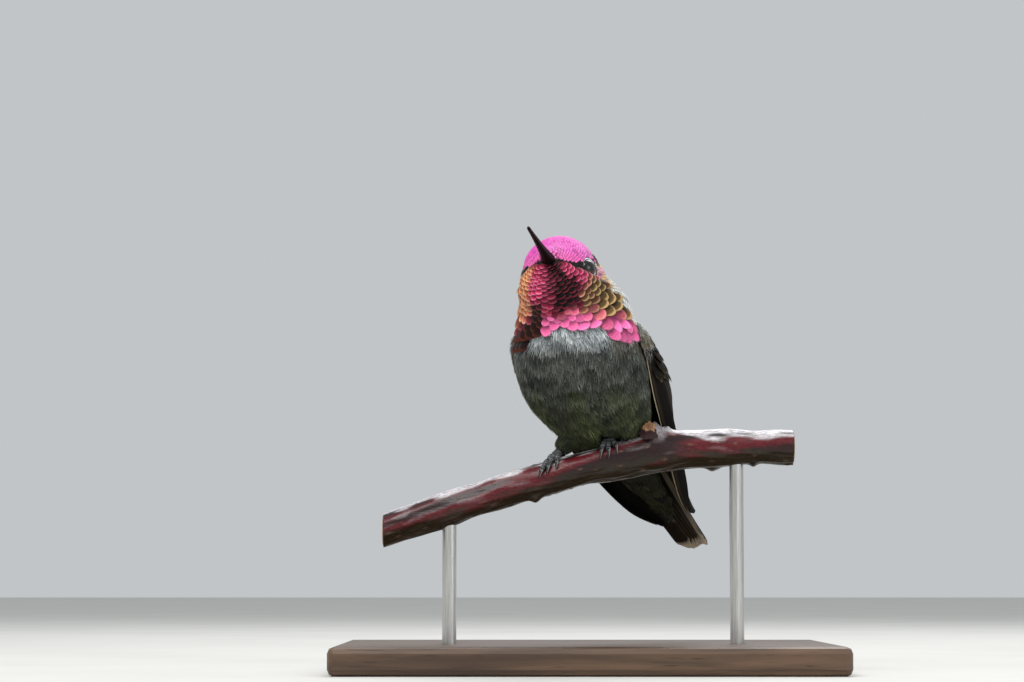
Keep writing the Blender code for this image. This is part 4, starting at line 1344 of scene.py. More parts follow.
def flight_piece(name, quills, material, replaces, tip_from=0.94):
    """One piece of (shape, points, colour, edge colours); each feather has a paler shaft and edges."""
    points, faces = joined([(points, shape.faces) for shape, points, _, _ in quills])
    colours, vanes = [], []
    for shape, _, colour, edges in quills:
        tone = 1 + 0.25 * lumps(np.stack([shape.a * 9, shape.b, shape.b * 0], 1), 1.4, len(colours))
        painted = np.asarray(colour) * tone[:, None]
        for edge, way in zip(edges, (-1, 1)):
            painted = mix(painted, edge, (ramp(shape.b * way, 0.62, 1.0) * 0.9)[:, None])
        painted = mix(painted, edges[-1], (0.9 * ramp(shape.a, tip_from, tip_from + 0.05))[:, None])
        painted = mix(painted, SHAFT, (0.6 * ramp(shape.ridge, 0.8, 1.0))[:, None])
        colours.append(painted)
        vanes.append(np.stack([shape.a * 10, shape.b * 1.5, shape.a * 0], 1))
    make_piece(
        name, points, faces, material, replaces,
        colours=np.concatenate(colours), vane=np.concatenate(vanes),
    )


def build_wing(side, material):
    """Ten primaries, the outermost lowest, under six secondaries, over a thin plate."""
    surface = WINGS[side]
    way = 1 if side == "left" else -1
    blade = Vane(26, 8, full_at=0.25, blunt=0.80, full_from=0.62, rounding=0.012)
    broad = Vane(20, 8, root=0.6, full_at=0.25, blunt=0.60, full_from=0.80, rounding=0.04)
    quills = []

    def add(shape, along, across, height, half, colour, edges):
        along, across = (mix(*ends, np.linspace(0, 1, QUILL_STEPS)) for ends in (along, across))
        out = on_grid(surface.out, along, across)
        path = on_grid(surface.grid, along, across) + out * height
        quills.append((shape, quill(shape, path, out, half[::way]), colour, edges[::way]))

    for k in range(PRIMARIES):
        share = k / (PRIMARIES - 1)
        edge = LEADING_EDGE if k == 0 and side == "left" else mix(DUSKY, BUFF, 0.22)
        add(blade, (mix(0.10, 0.22, share), mix(0.97, 0.52, share**0.85)),
            (mix(0.01, 0.50, share), mix(0.70, 0.97, share) if k else 0.04),
            0.08 + 0.06 * k, (0.55, 2.6), mix(WING_DARK, DUSKY, 0.4 + 0.4 * (k % 2)), (edge, DUSKY))
    for k in range(SECONDARIES):
        share = k / (SECONDARIES - 1)
        add(broad, (mix(0.14, 0.05, share), mix(0.50, 0.34, share)),
            (mix(0.46, 0.84, share), mix(0.66, 0.97, share)), 0.72 + 0.06 * k, (0.9, 2.4),
            mix(DUSKY, BRONZE, 0.12 * k), (mix(DUSKY, BUFF, 0.35), mix(DUSKY, BRONZE, 0.5)))
    flight_piece(f"wing_{side}_quills", quills, material, ())
    rows, columns = WING_GRID
    under = surface.grid - surface.out * 0.10
    depth = 0.45 * np.sin(np.pi * np.linspace(0, 1, columns)) ** 0.5
    below = under - surface.out * (0.04 + depth)[None, :, None]
    number = grid_numbers(rows, columns)
    faces = halved(cell_corners(number))
    rim = np.concatenate([number[0], number[1:, -1], number[-1, -2::-1], number[-2:0:-1, 0]])
    after = np.roll(rim, -1)
    size = rows * columns
    walls = halved(np.stack([rim, after, after + size, rim + size], -1))
    whole = np.concatenate([faces, faces[:, ::-1] + size, walls])
    points = np.concatenate([under.reshape(-1, 3), below.reshape(-1, 3)])
    down, over = np.meshgrid(np.arange(2 * rows) * 0.4, np.linspace(-1, 1, columns), indexing="ij")
    make_piece(
        f"wing_{side}_base", points, whole, material, [f"wing_{side}"],
        colours=np.broadcast_to(WING_DARK, points.shape),
        vane=np.stack([down, over, down * 0], -1).reshape(-1, 3), outwards=True,
    )


def build_coverts(material):
    """Rows of scale-like feathers over the bases of the flight feathers."""
    coat = Coat("coat_coverts", material, "flight_feathers")
    for surface in WINGS.values():
        row, along = 0, 0.0
        while along < 0.25:
            size = mix(1.2, 2.6, along / 0.25)
            place = on_grid(surface.grid, np.full(2, along), np.array([0.0, 1.0]))
            count = max(int(np.linalg.norm(place[1] - place[0]) * 1.35 / (0.62 * size)), 4)
            across = (np.arange(count) + 0.5 * (row % 2)) / count * 0.96 + 0.02
            across = across[across > 0.42 * (1 - min(along / 0.26, 1) ** 2)]
            count = len(across)
            spots = Spots(on_grid(surface.grid, np.full(count, along), across), surface)
            green = ramp(across, 0.45, 0.80)[:, None]
            dark = mix(DUSKY, BRONZE * 0.5, (0.1 + 0.25 * random.random(count))[:, None]) * 0.6
            main = mix(dark, mix(BACK_GREEN, BRONZE, 0.2 + 0.6 * random.random((count, 1))) * 0.8, green)
            coat.add(
                Vane(8, 6, blunt=0.35, rounding=0.25), spots, (main * 0.5, main, mix(main, BUFF, 0.22)),
                length=1.9 * size * (1 + jitter(count, 0.07)), width=0.95 * size,
                rise=0.75 + 0.25 * (along > 0.16), tilt=0.07, cup=0.08,
                yaw=jitter(count, 0.07), roll=jitter(count, 0.04), thick=0.05,
            )
            row += 1
            along += 0.021 * size / 1.5
    coat.make()


def build_tail(material):
    """Ten tail feathers in a folded fan, the middle pair on top."""
    blade = Vane(22, 8, root=0.8, full_at=0.3, blunt=0.40, full_from=0.93, rounding=0.05)
    share = np.linspace(0, 1, 22)
    quills = []
    for k in range(RECTRICES):
        across = (k + 0.5) / RECTRICES * 2 - 1
        reach = TAIL_REACH + 0.8 + (-5.0 * across**4 if across > 0 else 1.2 * abs(across) - 1.9 * across**6)
        half = mix(5.2, 3.0, share**0.9)
        sag = 0.35 - 0.9 * across**2 - 0.55 * abs(across)
        path = TAIL_BASE + np.outer(share * reach, TAIL[0]) + np.outer(across * half, TAIL[1]) + TAIL[2] * sag
        lean = -0.5 * across
        out = np.broadcast_to(unit(TAIL[2] - TAIL[1] * lean), path.shape)
        narrow, wide = 1.15, 2.2
        halves = (wide, narrow) if across > 0 else (narrow, wide)
        outer = mix(TAIL_DARK, WORN, 0.55) if k >= RECTRICES - 2 else mix(TAIL_DARK, BUFF, 0.2)
        edges = (TAIL_DARK, outer) if across > 0 else (outer, TAIL_DARK)
        main = mix(TAIL_DARK, WORN, 0.30) if k >= RECTRICES - 2 else TAIL_DARK
        quills.append((blade, quill(blade, path, out, halves, thick=0.07), main, (*edges, WORN)))
    flight_piece("tail_quills", quills, material, ["tail"], tip_from=0.915)
    short = Vane(12, 6, root=0.6, blunt=0.5, full_from=0.6, rounding=0.10)
    quills = []
    for row in range(5):
        for k in range(7 - row % 2):
            across = (k + 0.5) / (7 - row % 2) * 2 - 1
            reach = mix(9.5, 1.5, row / 4) - 1.5 * across**2 + random.uniform(-0.3, 0.3)
            rise = 0.6 - 1.4 * across**2
            start = TAIL_BASE - TAIL[0] * (2.0 + 0.6 * row) + TAIL[1] * across * 5.2 + TAIL[2] * rise
            rise = 0.6 + 0.22 * row - 1.4 * across**2
            end = TAIL_BASE + TAIL[0] * reach + TAIL[1] * across * 4.8 + TAIL[2] * rise
            path = mix(start, end, np.linspace(0, 1, 12)[:, None])
            out = np.broadcast_to(unit(TAIL[2] + TAIL[1] * 0.5 * across), path.shape)
            green = mix(BACK_GREEN, BRONZE, random.random())
            quills.append((short, quill(short, path, out, (1.5, 1.5)), green, (green * 1.4, green * 1.4)))
    flight_piece("tail_coverts", quills, material, ())


# ---------------------------------------------------------------- bill and eyes

BILL = axes_of((16.0, 18.6, 5.0))
BILL_LENGTH = 18.0
BILL_HALF = (1.9, 1.6)
BILL_TIP_RADIUS = 0.33
BILL_DROOP = 0.25
BILL_DARK = srgb(16, 6, 8)
BILL_EDGE = srgb(56, 32, 32)
PUPIL = srgb(6, 5, 5)
IRIS = srgb(22, 14, 10)
LID = srgb(44, 46, 50)
LID_PALE = srgb(236, 240, 240)


def build_bill(material):
    """Two halves that meet along a fine line, with a nostril slit in the upper one near its base."""
    reach = node_points("bill_upper") @ BILL[0]
    tip = node_points("bill_upper")[reach > reach.max() - 0.2].mean(0) - BILL[2] * 0.15
    share = np.linspace(-0.14, 1, 90)
    taper = 1 - np.clip(share, 0, 1)
    wide = BILL_TIP_RADIUS + (BILL_HALF[0] - BILL_TIP_RADIUS) * (0.55 * taper**1.3 + 0.45 * taper**6)
    deep = BILL_TIP_RADIUS + (BILL_HALF[1] - BILL_TIP_RADIUS) * (0.7 * taper**1.4 + 0.3 * taper**6)
    round_tip = np.sqrt(np.clip(1 - ((share - 0.985) / 0.015).clip(0, 1) ** 2, 0.02, 1))
    parts, colours = [], []
    for way, heavy, length in ((1, 1.15, 1.0), (-1, 0.85, 0.985)):
        droop = BILL_DROOP * (share.clip(0, 1) ** 2 - 1)
        spine = tip + np.outer((share * length - 1) * BILL_LENGTH, BILL[0]) - np.outer(droop, BILL[2])
        turn = np.radians(np.linspace(0, 180, 19))
        across = np.cos(turn)[None] * (wide * round_tip)[:, None]
        height = 0.03 + np.sin(turn)[None] ** 0.85 * (deep * heavy * round_tip)[:, None]
        slit = np.exp(-(((share - 0.10) / 0.05) ** 2))[:, None]
        slit = slit * np.exp(-(((np.sin(turn) - 0.55) / 0.16) ** 2))[None]
        pull = 1 - 0.22 * slit * (way > 0)
        rings = spine[:, None] + (across * pull)[..., None] * BILL[1]
        rings = rings + (way * height * pull)[..., None] * BILL[2]
        points, faces = closed_tube(rings)
        parts.append((points, faces if way > 0 else faces[:, ::-1]))
        edge = (np.abs(np.cos(turn)) ** 6)[None] * (1 - 0.5 * taper)[:, None]
        # The nostril slit is darkened as painted shade in its groove.
        tone = mix(BILL_DARK, BILL_EDGE, 0.35 * edge[..., None]) * (1 - 0.6 * slit[..., None])
        colours.append(np.concatenate([tone.reshape(-1, 3), [BILL_DARK, BILL_DARK]]))
    points, faces = joined(parts)
    make_piece(
        "bill", points, faces, material, ["bill_upper", "bill_lower"],
        colours=np.concatenate(colours),
    )


def build_eyes(eye_material, lid_material):
    for side, way in (("left", 1), ("right", -1)):
        facing = unit(HEAD.T @ [0.36, 0.93 * way, 0.06])
        rear = unit(-HEAD[0] + facing * (HEAD[0] @ facing))
        over = np.cross(rear, facing) * way
        polar = np.radians(np.concatenate([np.linspace(1, 90, 30), np.linspace(98, 178, 8)]))
        turn = np.linspace(0, 2 * np.pi, 48, endpoint=False)
        round_ways = np.cos(turn)[:, None] * rear + np.sin(turn)[:, None] * over
        ball = np.cos(polar)[:, None, None] * facing + np.sin(polar)[:, None, None] * round_ways
        points, faces = closed_tube(EYES[side] + ball * EYE_RADIUS)
        off_axis = np.arccos(np.clip((points - EYES[side]) @ facing / EYE_RADIUS, -1, 1))
        from_centre = points - EYES[side]
        streaks = 1 + 0.35 * np.sin(np.arctan2(from_centre @ over, from_centre @ rear) * 37)
        iris = ramp(off_axis, 0.52, 0.60) * (1 - ramp(off_axis, 0.88, 1.0))
        colours = mix(PUPIL, IRIS, (iris * streaks * 0.8)[:, None])
        make_piece(
            f"eyeball_{side}", points, faces, eye_material, [f"eye_{side}"],
            colours=colours, outwards=True,
        )
        turn = np.linspace(0, 2 * np.pi, 120, endpoint=False)
        high, low = np.sin(turn).clip(0, 1), (-np.sin(turn)).clip(0, 1)
        opening = np.radians(65 - 5 * high - 3 * low + 3 * np.cos(turn) ** 6)
        opening = opening + 0.012 * np.sin(turn * 24)
        ring_ways = np.cos(turn)[:, None] * rear + np.sin(turn)[:, None] * over
        rows = []
        for bend in np.linspace(0, 2 * np.pi, 12, endpoint=False):
            thick = 0.30 + 0.03 * np.cos(turn * 24)
            reach = EYE_RADIUS + 0.10 + thick * np.sin(bend)
            spread_at = opening + 0.10 + thick / EYE_RADIUS * 1.5 * np.cos(bend)
            ways = np.cos(spread_at)[:, None] * facing + np.sin(spread_at)[:, None] * ring_ways
            rows.append(EYES[side] + reach[:, None] * ways)
        rings = np.stack(rows, axis=1)
        count, around = rings.shape[:2]
        r, i = np.meshgrid(np.arange(count), np.arange(around), indexing="ij")
        a, b = r * around + i, r * around + (i + 1) % around
        c, d = ((r + 1) % count) * around + (i + 1) % around, ((r + 1) % count) * around + i
        faces = np.concatenate([np.stack([a, b, c], -1), np.stack([a, c, d], -1)]).reshape(-1, 3)
        pale = (0.40 + 0.60 * ramp(np.cos(turn), -0.2, 0.8) + 0.45 * ramp(-np.sin(turn), 0.2, 0.9)).clip(0, 1)
        colours = np.repeat(mix(LID, LID_PALE, pale[:, None]), around, axis=0)
        make_piece(
            f"lids_{side}", rings.reshape(-1, 3), faces, lid_material, colours=colours, outwards=True,
        )


# ---------------------------------------------------------------- branch, feet and stand

# The branch's ends, the heights of its centre line and its radii, at places along X
BRANCH_ENDS = (-46.0, 41.0)
BRANCH_X = (-46.0, -29.0, -15.4, -1.9, 11.7, 18.5, 32.1, 41.0)
BRANCH_Z = (-17.0, -11.4, -7.2, -3.5, -0.7, 0.1, 0.6, 0.5)
BRANCH_R = (3.65, 3.8, 3.75, 3.75, 4.2, 4.1, 3.7, 3.6)
# (place along X, angle from the top towards -Y, height, half length, half angle)
BRANCH_BUMPS = (
    (11.3, 24, 2.3, 1.7, 26),
    (13.6, 10, 0.9, 1.8, 30),
    (11.5, 60, 0.7, 4.5, 60),
    (-13.6, 165, 0.9, 1.1, 20),
    (32.6, 172, 0.7, 0.9, 18),
    (-36.0, -70, 1.2, 1.4, 24),
    (24.0, 205, 1.0, 1.3, 24),
)
BARK_GRID = (440, 96)
TWIG_SIDES = 60
SILVER = srgb(206, 202, 206)
BURGUNDY = srgb(88, 18, 26)
DARK_BARK = srgb(34, 12, 13)
OLIVE_BARK = srgb(40, 32, 20)
LENTICEL = srgb(112, 84, 66)
SAPWOOD = srgb(158, 118, 84)
STUB = (10.4, 34.0)


def branch_centre(x):
    x = np.atleast_1d(np.asarray(x, float))
    share = (x - BRANCH_X[0]) / (BRANCH_X[-1] - BRANCH_X[0])
    line = np.interp(np.linspace(BRANCH_X[0], BRANCH_X[-1], 24), BRANCH_X, BRANCH_Z)
    return np.stack([x, 0.7 * np.sin(x / 11.0), smooth_curve(line[:, None], share)[:, 0]], axis=1)


def branch_radius(x, angle):
    """The bark's distance from the centre line, at an angle in degrees from the top towards -Y."""
    radius = np.interp(x, BRANCH_X, BRANCH_R)
    radius = radius + 0.12 * np.sin(x / 3.1 + np.radians(angle) * 2) + 0.08 * np.sin(x / 1.9)
    for place, towards, height, length, wide in BRANCH_BUMPS:
        turn = (angle - towards + 180) % 360 - 180
        radius = radius + height * np.exp(-(((x - place) / length) ** 2) - (turn / wide) ** 2)
    return radius


def branch_point(x, angle, off=0.0):
    """Points off mm above the bark."""
    x, angle = np.broadcast_arrays(np.asarray(x, float), np.asarray(angle, float))
    turn = np.radians(angle)
    around = np.stack([np.zeros_like(x), -np.sin(turn), np.cos(turn)], axis=-1)
    centre = branch_centre(x.ravel()).reshape(*x.shape, 3)
    return centre + around * (branch_radius(x, angle) + off)[..., None]


def build_branch(material, wood_material):
    """The bark, with its ridges, lenticels and knot, the broken twig on the knot, and two sawn ends."""
    length, sides = BARK_GRID
    x = np.linspace(*BRANCH_ENDS, length)[:, None]
    angles = np.linspace(0, 360, sides, endpoint=False)
    angle = angles[None, :]
    x, angle = (grid.ravel() for grid in np.broadcast_arrays(x, angle))
    turn = np.radians(angle)
    spot = np.stack([x * 0.07, 3.8 * np.sin(turn), 3.8 * np.cos(turn)], axis=1)
    streak = lumps(spot, 1.3, 51)
    fibre = lumps(spot * [1.6, 1, 1], 0.5, 52)
    off = 0.10 * streak + 0.06 * fibre
    marks = np.zeros(len(x))
    for place, towards in zip(random.uniform(-45, 40, 110), random.uniform(0, 360, 110)):
        away = ((x - place) / 0.55) ** 2 + (((angle - towards + 180) % 360 - 180) / 2.4) ** 2
        marks = np.maximum(marks, np.exp(-away))
    crater = ((x - STUB[0] - 2.6) / 0.9) ** 2 + ((angle - 14) / 11.0) ** 2
    off = off + 0.16 * marks - 1.0 * np.exp(-crater) + 0.35 * np.exp(-((np.sqrt(crater) - 1.7) / 0.5) ** 2)
    points = branch_point(x, angle, off)
    top = np.cos(turn) + 0.10 * streak + 0.12 * fibre
    colours = mix(DARK_BARK, BURGUNDY, ramp(streak + 0.5 * np.cos(turn - 0.9), -0.3, 0.9)[:, None])
    colours = mix(colours, OLIVE_BARK, ramp(-top, -0.05, 0.55)[:, None])
    # A pale silver band along the top: partly the bark's pale weathered skin, partly a painted sky
    # reflection.
    wide_top = 0.70 - 0.16 * ramp(x, 5.0, 20.0)
    colours = mix(colours, SILVER, (ramp(top, wide_top, wide_top + 0.26) * 0.92)[:, None])
    grey = ramp(fibre + 0.4 * streak, 0.7, 1.2) * ramp(np.cos(turn), -0.4, 0.3) * 0.22
    colours = mix(colours, SILVER * 0.6, grey[:, None])
    colours = mix(colours, LENTICEL, (marks * 0.8)[:, None])
    knot = np.exp(-(((x - 12.0) / 2.6) ** 2) - (((angle - 25 + 180) % 360 - 180) / 40.0) ** 2)
    colours = mix(colours, DARK_BARK * 1.5, (0.75 * knot)[:, None])
    # The pit by the twig is darkened as painted shade.
    colours = mix(colours, DARK_BARK * 0.25, np.exp(-crater)[:, None])
    points, faces = closed_tube(points.reshape(length, sides, 3))
    colours = np.concatenate([colours, [SAPWOOD, SAPWOOD]])
    make_piece("bark", points, faces, material, ["perch_branch"], colours=colours, outwards=True)
    parts, tones = [], []
    for x_end, way in zip(BRANCH_ENDS, (-1, 1)):
        share = np.linspace(0.90, 0.05, 40)
        centre = branch_centre(x_end)[0]
        rim = branch_point(np.full(sides, x_end), angles) - centre
        bulge = (0.12 + 0.05 * np.sin(share * 40))[:, None, None]
        face = centre + rim[None] * share[:, None, None] + np.array([way, 0, 0]) * bulge
        inside = centre + rim[None] * 0.9 - np.array([way * 0.4, 0, 0])
        parts.append(closed_tube(np.concatenate([inside, face])))
        ring_tone = mix(1.0, 0.55, share**6) + 0.28 * np.sin(share * 58)
        tone = SAPWOOD * np.concatenate([[0.5], ring_tone])[:, None]
        tones.append(np.concatenate([np.repeat(tone, sides, axis=0), [SAPWOOD * 0.5, SAPWOOD * 0.45]]))
    base = branch_point(STUB[0], STUB[1], -0.6)
    up = unit(branch_point(STUB[0], STUB[1], 1.0) - base + np.array([-0.2, -0.4, 0.2]))
    path = base + up * np.linspace(0, 1.3, 14)[:, None]
    radii = np.interp(np.linspace(0, 1, 14), [0, 0.5, 1], [2.3, 1.75, 1.5])
    rings = tube_points(path, radii, TWIG_SIDES, top=np.array([1.0, 0, 0]))
    turns = np.linspace(0, 2 * np.pi, TWIG_SIDES, endpoint=False)
    splinters = 0.35 * np.sin(turns * 2 + 1) + 0.22 * np.sin(turns * 7) + 0.30 * random.random(TWIG_SIDES)
    rings[-3:] += up * splinters[:, None] * np.array([0.3, 0.7, 1.0])[:, None, None]
    ridges = 0.12 * np.sin(turns * 5 + 2) + 0.08 * np.sin(turns * 11)
    rings += unit(rings - path[:, None]) * ridges[None, :, None]
    rims = rings[-1]
    inner = [
        mix(rims.mean(0), rims, share) + up * (height * random.random((TWIG_SIDES, 1)) - 0.1)
        for share, height in ((0.86, 0.5), (0.7, 0.8), (0.52, 0.3), (0.36, 0.9), (0.18, 0.5))
    ]
    parts.append(closed_tube(np.concatenate([rings, inner])))
    broken = SAPWOOD * np.array([0.4, 0.9, 1.1, 0.6, 1.0, 0.7])[:, None]
    tone = np.concatenate([np.repeat(DARK_BARK[None] * 1.6, 13, 0), broken])
    tone = np.repeat(tone, TWIG_SIDES, axis=0)
    tone = tone * (0.55 + 0.8 * random.random((len(tone), 1)))
    tones.append(np.concatenate([tone, [SAPWOOD, SAPWOOD * 0.6]]))
    points, faces = joined(parts)
    make_piece(
        "branch_wood", points, faces, wood_material, colours=np.concatenate(tones), outwards=True,
    )


FOOT_PLACES = {"right": -8.8, "left": 1.7}
# For each toe: how far it drifts along X, the angle it reaches, and whether it is in front
TOES = {
    "right": (("inner", -0.5, 40.0, 1), ("middle", -2.2, 48.0, 1), ("outer", -3.6, 54.0, 1),
              ("rear", 1.6, 58.0, -1)),
    "left": (("inner", -1.5, 44.0, 1), ("middle", 0.0, 48.0, 1), ("outer", 1.5, 40.0, 1),
             ("rear", 0.4, 58.0, -1)),
}
TOE_RADIUS = (0.58, 0.44)
TOE_START = 6.0
CLAW_SWEEP = 20.0
ANKLE_RADIUS = 0.95
LEG_LEAN = {"right": np.array([1.6, 2.0, 3.0]), "left": np.array([0.2, 1.6, 3.6])}
BARK_GAP = 0.12
TOE_DARK = srgb(30, 30, 32)
TOE_HIGHLIGHT = srgb(124, 126, 130)
CLAW_DARK = srgb(34, 34, 36)
CLAW_HIGHLIGHT = srgb(214, 214, 210)


def ankle_of(place):
    return branch_point(place, -4.0, ANKLE_RADIUS + 0.3)


def scaled_tube(path, radii, around=14, pitch=0.42, depth=0.07):
    """A tube with overlapping rings of scales, and its colours, with a painted highlight on each ring's edge.
    """
    length = lengths_along(path)
    share = np.linspace(0, length[-1], max(int(length[-1] / 0.07), 12))
    fine = read_along(path, length, share)
    step = (share / pitch) % 1
    radii = np.interp(share, length, radii) * (1 + depth * (step - 0.5))
    points, faces = closed_tube(tube_points(fine, radii, around, top=np.array([1.0, 0.0, 0.0])))
    tone = mix(TOE_DARK, TOE_HIGHLIGHT, (0.75 * step**3)[:, None])
    return points, faces, np.concatenate([np.repeat(tone, around, axis=0), [TOE_DARK, TOE_DARK]])


def build_feet(foot_material, claw_material):
    for side, place in FOOT_PLACES.items():
        ankle = ankle_of(place)
        shank = ankle + np.outer(np.linspace(-0.1, 1.3, 12), LEG_LEAN[side]) + [0, 0.3, 0.2]
        parts = [scaled_tube(shank, np.linspace(0.72, 0.9, 12))]
        claws, shades = [], []
        for _, drift, reach, way in TOES[side]:
            share = np.linspace(0, 1, 30)
            turn = way * (TOE_START + (reach + 6.0 - TOE_START) * share)
            radii = 1.2 * np.linspace(*TOE_RADIUS, 30) * (1 + 0.10 * np.cos(share * 6 * np.pi))
            path = branch_point(place + drift * (0.2 + 0.8 * share), turn, BARK_GAP + radii)
            parts.append(scaled_tube(np.vstack([ankle, path]), np.append(ANKLE_RADIUS * 0.8, radii)))
            share = np.linspace(0, 1, 22)
            turn = way * (reach + 3.0 + (CLAW_SWEEP + 8.0) * share)
            off = BARK_GAP + 0.36 + 0.62 * np.sin(np.pi * share**0.8) - 0.30 * share
            path = branch_point(place + drift * (1.0 + 0.2 * share), turn, off)
            rings = tube_points(path, 0.50 - 0.43 * share**1.2, 12, top=np.array([1.0, 0, 0]))
            claws.append(closed_tube(rings))
            # The upper ridge of each claw is lightened as a painted highlight, more towards the tip.
            ridge = ramp(np.sin(np.linspace(0, 2 * np.pi, 12, endpoint=False)), 0.3, 1.0)
            shade = mix(CLAW_DARK, CLAW_HIGHLIGHT, (ridge[None] * (0.35 + 0.5 * share[:, None]))[..., None])
            shades.append(np.concatenate([shade.reshape(-1, 3), [CLAW_DARK, CLAW_HIGHLIGHT]]))
        points, faces = joined([part[:2] for part in parts])
        make_piece(
            f"foot_skin_{side}", points, faces, foot_material, [f"foot_{side}", f"leg_{side}"],
            colours=np.concatenate([part[2] for part in parts]), outwards=True,
        )
        points, faces = joined(claws)
        make_piece(
            f"claws_{side}", points, faces, claw_material,
            [f"claw_{side}_{name}" for name, _, _, _ in TOES[side]],
            colours=np.concatenate(shades), outwards=True,
        )


# The way up from each ankle to the top of its tuft, and the tuft's radii at its top and bottom
LEG_TUFTS = {
    "right": (np.array([4.0, 1.4, 4.4]), (3.0, 1.4)),
    "left": (np.array([0.5, -0.6, 5.6]), (3.6, 2.3)),
}


def build_leg_tufts(material):
    """Soft feathers round the top of each leg, which hang from the belly to the foot."""
    coat = Coat("coat_legs", material, "body_feathers")
    for side, place in FOOT_PLACES.items():
        low = ankle_of(place)
        rise, (top_radius, low_radius) = LEG_TUFTS[side]
        line = low + np.outer(np.linspace(1.0, 0.08, 16), rise)
        rings = tube_points(line, np.linspace(top_radius, low_radius, 16), 24)
        points, faces = closed_tube(rings)
        cone = Surface(points, faces)
        if ((cone.points[:-2] - np.repeat(line, 24, axis=0)) * cone.normals[:-2]).sum(1).mean() < 0:
            cone = Surface(points, faces[:, ::-1])
        cone.flow = np.broadcast_to(unit(line[-1] - line[0]), points.shape)
        roots = np.concatenate([
            mix(ring, np.roll(ring, 1, axis=0), 0.5 * (r % 2))[::2] for r, ring in enumerate(rings[:12])
        ])
        spots = Spots(roots, cone)
        main = body_colours(spots.near) * 0.9
        add_tufts(
            coat, spots, (main * 0.35, main, main * 1.4), Vane(4, 3, blunt=0.5), 9,
            2.0 * (1 + jitter(len(spots), 0.10)), 1.2, 0.3, barb_width=0.09,
        )
    coat.make()


def painted_material(name, roughness, bump_size, bump_height, tone, stretch=(1, 1, 1), **values):
    """Colours from the mesh with a fine procedural mottle and bump over them."""
    material, tree, shader = new_material(name, roughness, **values)
    colour = node(tree, "ShaderNodeAttribute", attribute_name="Plumage").outputs["Color"]
    fine = noise(tree, bump_size, 5.0, stretch)
    value = levels(tree, fine, 0.3, 0.7, 1 - tone, 1 + tone)
    toned(tree, shader, colour, value)
    bumped(tree, shader, fine, bump_height)
    return material


def finish_stand():
    """Walnut for the base and brushed steel for the rods."""
    wood, tree, shader = new_material("stand_walnut", 0.46, Coat_Weight=0.06, Coat_Roughness=0.25)
    grain = noise(tree, 3.0, 6.0, (14, 1, 1), distortion=0.6)
    pores = noise(tree, 0.5, 3.0, (20, 1, 1))
    colour = blend(tree, levels(tree, grain, 0.30, 0.70), (0.050, 0.026, 0.014), (0.135, 0.075, 0.040))
    colour = blend(tree, levels(tree, pores, 0.60, 0.72), colour, (0.025, 0.013, 0.008))
    tree.links.new(colour, shader.inputs["Base Color"])
    bumped(tree, shader, pores, 0.06)
    metal, tree, shader = new_material("stand_steel", 0.28, 1.0)
    lines = noise(tree, 0.25, 4.0, (1, 1, 30))
    colour = blend(tree, levels(tree, lines, 0.3, 0.7), (0.50, 0.49, 0.47), (0.66, 0.65, 0.63))
    tree.links.new(colour, shader.inputs["Base Color"])
    bumped(tree, shader, lines, 0.01)
    for name, finish in (("stand_base", wood), ("stand_rod_left", metal), ("stand_rod_right", metal)):
        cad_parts[name].data.materials.clear()
        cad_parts[name].data.materials.append(finish)


# ---------------------------------------------------------------- camera, light and floor

AIM = np.array([-18.72, -1.82, 23.12])
VIEW_RISE = -4.5
VIEW_DISTANCE = 650.0
LENS = 107.4
FLOOR_HALF = 3.0  # metres


def build_camera():
    camera = linked("camera", bpy.data.cameras.new("camera"))
    rise = np.radians(VIEW_RISE)
    back = np.array([0.0, -np.cos(rise), np.sin(rise)])
    camera.location = placed(AIM + back * VIEW_DISTANCE)
    camera.rotation_euler = Vector(back.tolist()).to_track_quat("Z", "Y").to_euler()
    camera.data.lens = LENS
    camera.data.clip_start = 0.01
    bpy.context.scene.camera = camera


def build_light(name, place, size, power, colour):
    light = bpy.data.lights.new(name, "AREA")
    light.size = size * MM
    light.energy = power
    light.color = colour
    obj = linked(name, light)
    obj.location = placed(place)
    obj.rotation_euler = Vector(np.asarray(place, float).tolist()).to_track_quat("Z", "Y").to_euler()


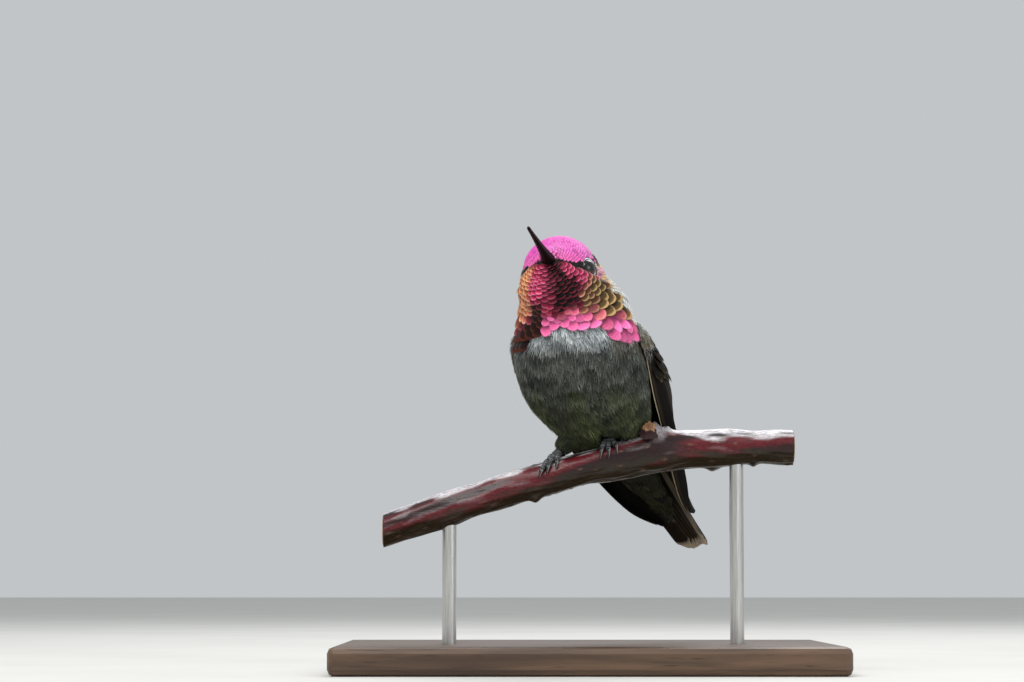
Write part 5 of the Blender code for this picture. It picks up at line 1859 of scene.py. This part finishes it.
def build_stage():
    world = bpy.data.worlds.new("studio")
    bpy.context.scene.world = world
    world.use_nodes = True
    sky = world.node_tree.nodes["Background"]
    sky.inputs["Color"].default_value = (0.86, 0.90, 0.93, 1)
    sky.inputs["Strength"].default_value = 0.62
    build_light("key", (-260, -420, 620), 420, 4.3, (1, 0.985, 0.96))
    build_light("fill", (420, -480, 220), 380, 1.0, (0.96, 0.98, 1))
    build_light("rim", (120, 420, 520), 360, 2.2, (1, 1, 1))
    mesh = bpy.data.meshes.new("floor")
    corners = [(x * FLOOR_HALF, y * FLOOR_HALF, 0) for x, y in ((-1, -1), (1, -1), (1, 1), (-1, 1))]
    mesh.from_pydata(corners, [], [(0, 1, 2, 3)])
    floor = linked("floor", mesh)
    material, tree, shader = new_material("floor", 0.7)
    tint = levels(tree, noise(tree, 60, 5.0), 0.3, 0.7)
    tree.links.new(blend(tree, tint, (0.64, 0.63, 0.60), (0.68, 0.67, 0.64)), shader.inputs["Base Color"])
    mesh.materials.append(material)
    bpy.context.scene.view_settings.view_transform = "Standard"


# ---------------------------------------------------------------- everything


def main():
    build_camera()
    build_stage()
    crown = feather_material("crown_plumage", 0.55, 9.0, 0.08, Specular_IOR_Level=0.25)
    gorget = feather_material("gorget_plumage", 0.45, 9.0, 0.14, Specular_IOR_Level=0.12)
    soft = feather_material("soft_plumage", 0.75, 7.0, 0.22, Specular_IOR_Level=0.3)
    stiff = feather_material("flight_plumage", 0.60, 9.0, 0.12, Specular_IOR_Level=0.10)
    build_skin_piece(soft)
    build_crown(crown)
    build_face(soft)
    build_gorget(gorget)
    build_body(soft)
    build_back(soft)
    build_undertail(soft)
    build_shoulders(soft)
    for side in WING_LINES:
        build_wing(side, stiff)
    build_coverts(stiff)
    build_tail(stiff)
    build_bill(painted_material("bill_horn", 0.46, 0.35, 0.02, 0.22, (6, 6, 2), Specular_IOR_Level=0.12))
    build_eyes(
        painted_material(
            "eye_gloss", 0.25, 0.6, 0.0, 0.1, Specular_IOR_Level=0.3, Coat_Weight=0.6, Coat_Roughness=0.10,
        ),
        painted_material("lid_skin", 0.5, 0.12, 0.02, 0.25),
    )
    build_branch(
        painted_material("bark_glossy", 0.34, 0.34, 0.06, 0.36, (3, 1, 1), Specular_IOR_Level=0.35),
        painted_material("broken_wood", 0.8, 0.3, 0.08, 0.25),
    )
    build_feet(
        painted_material("foot_scales", 0.45, 0.15, 0.02, 0.25),
        painted_material("claw_horn", 0.25, 0.3, 0.01, 0.15),
    )
    build_leg_tufts(soft)
    finish_stand()


main()
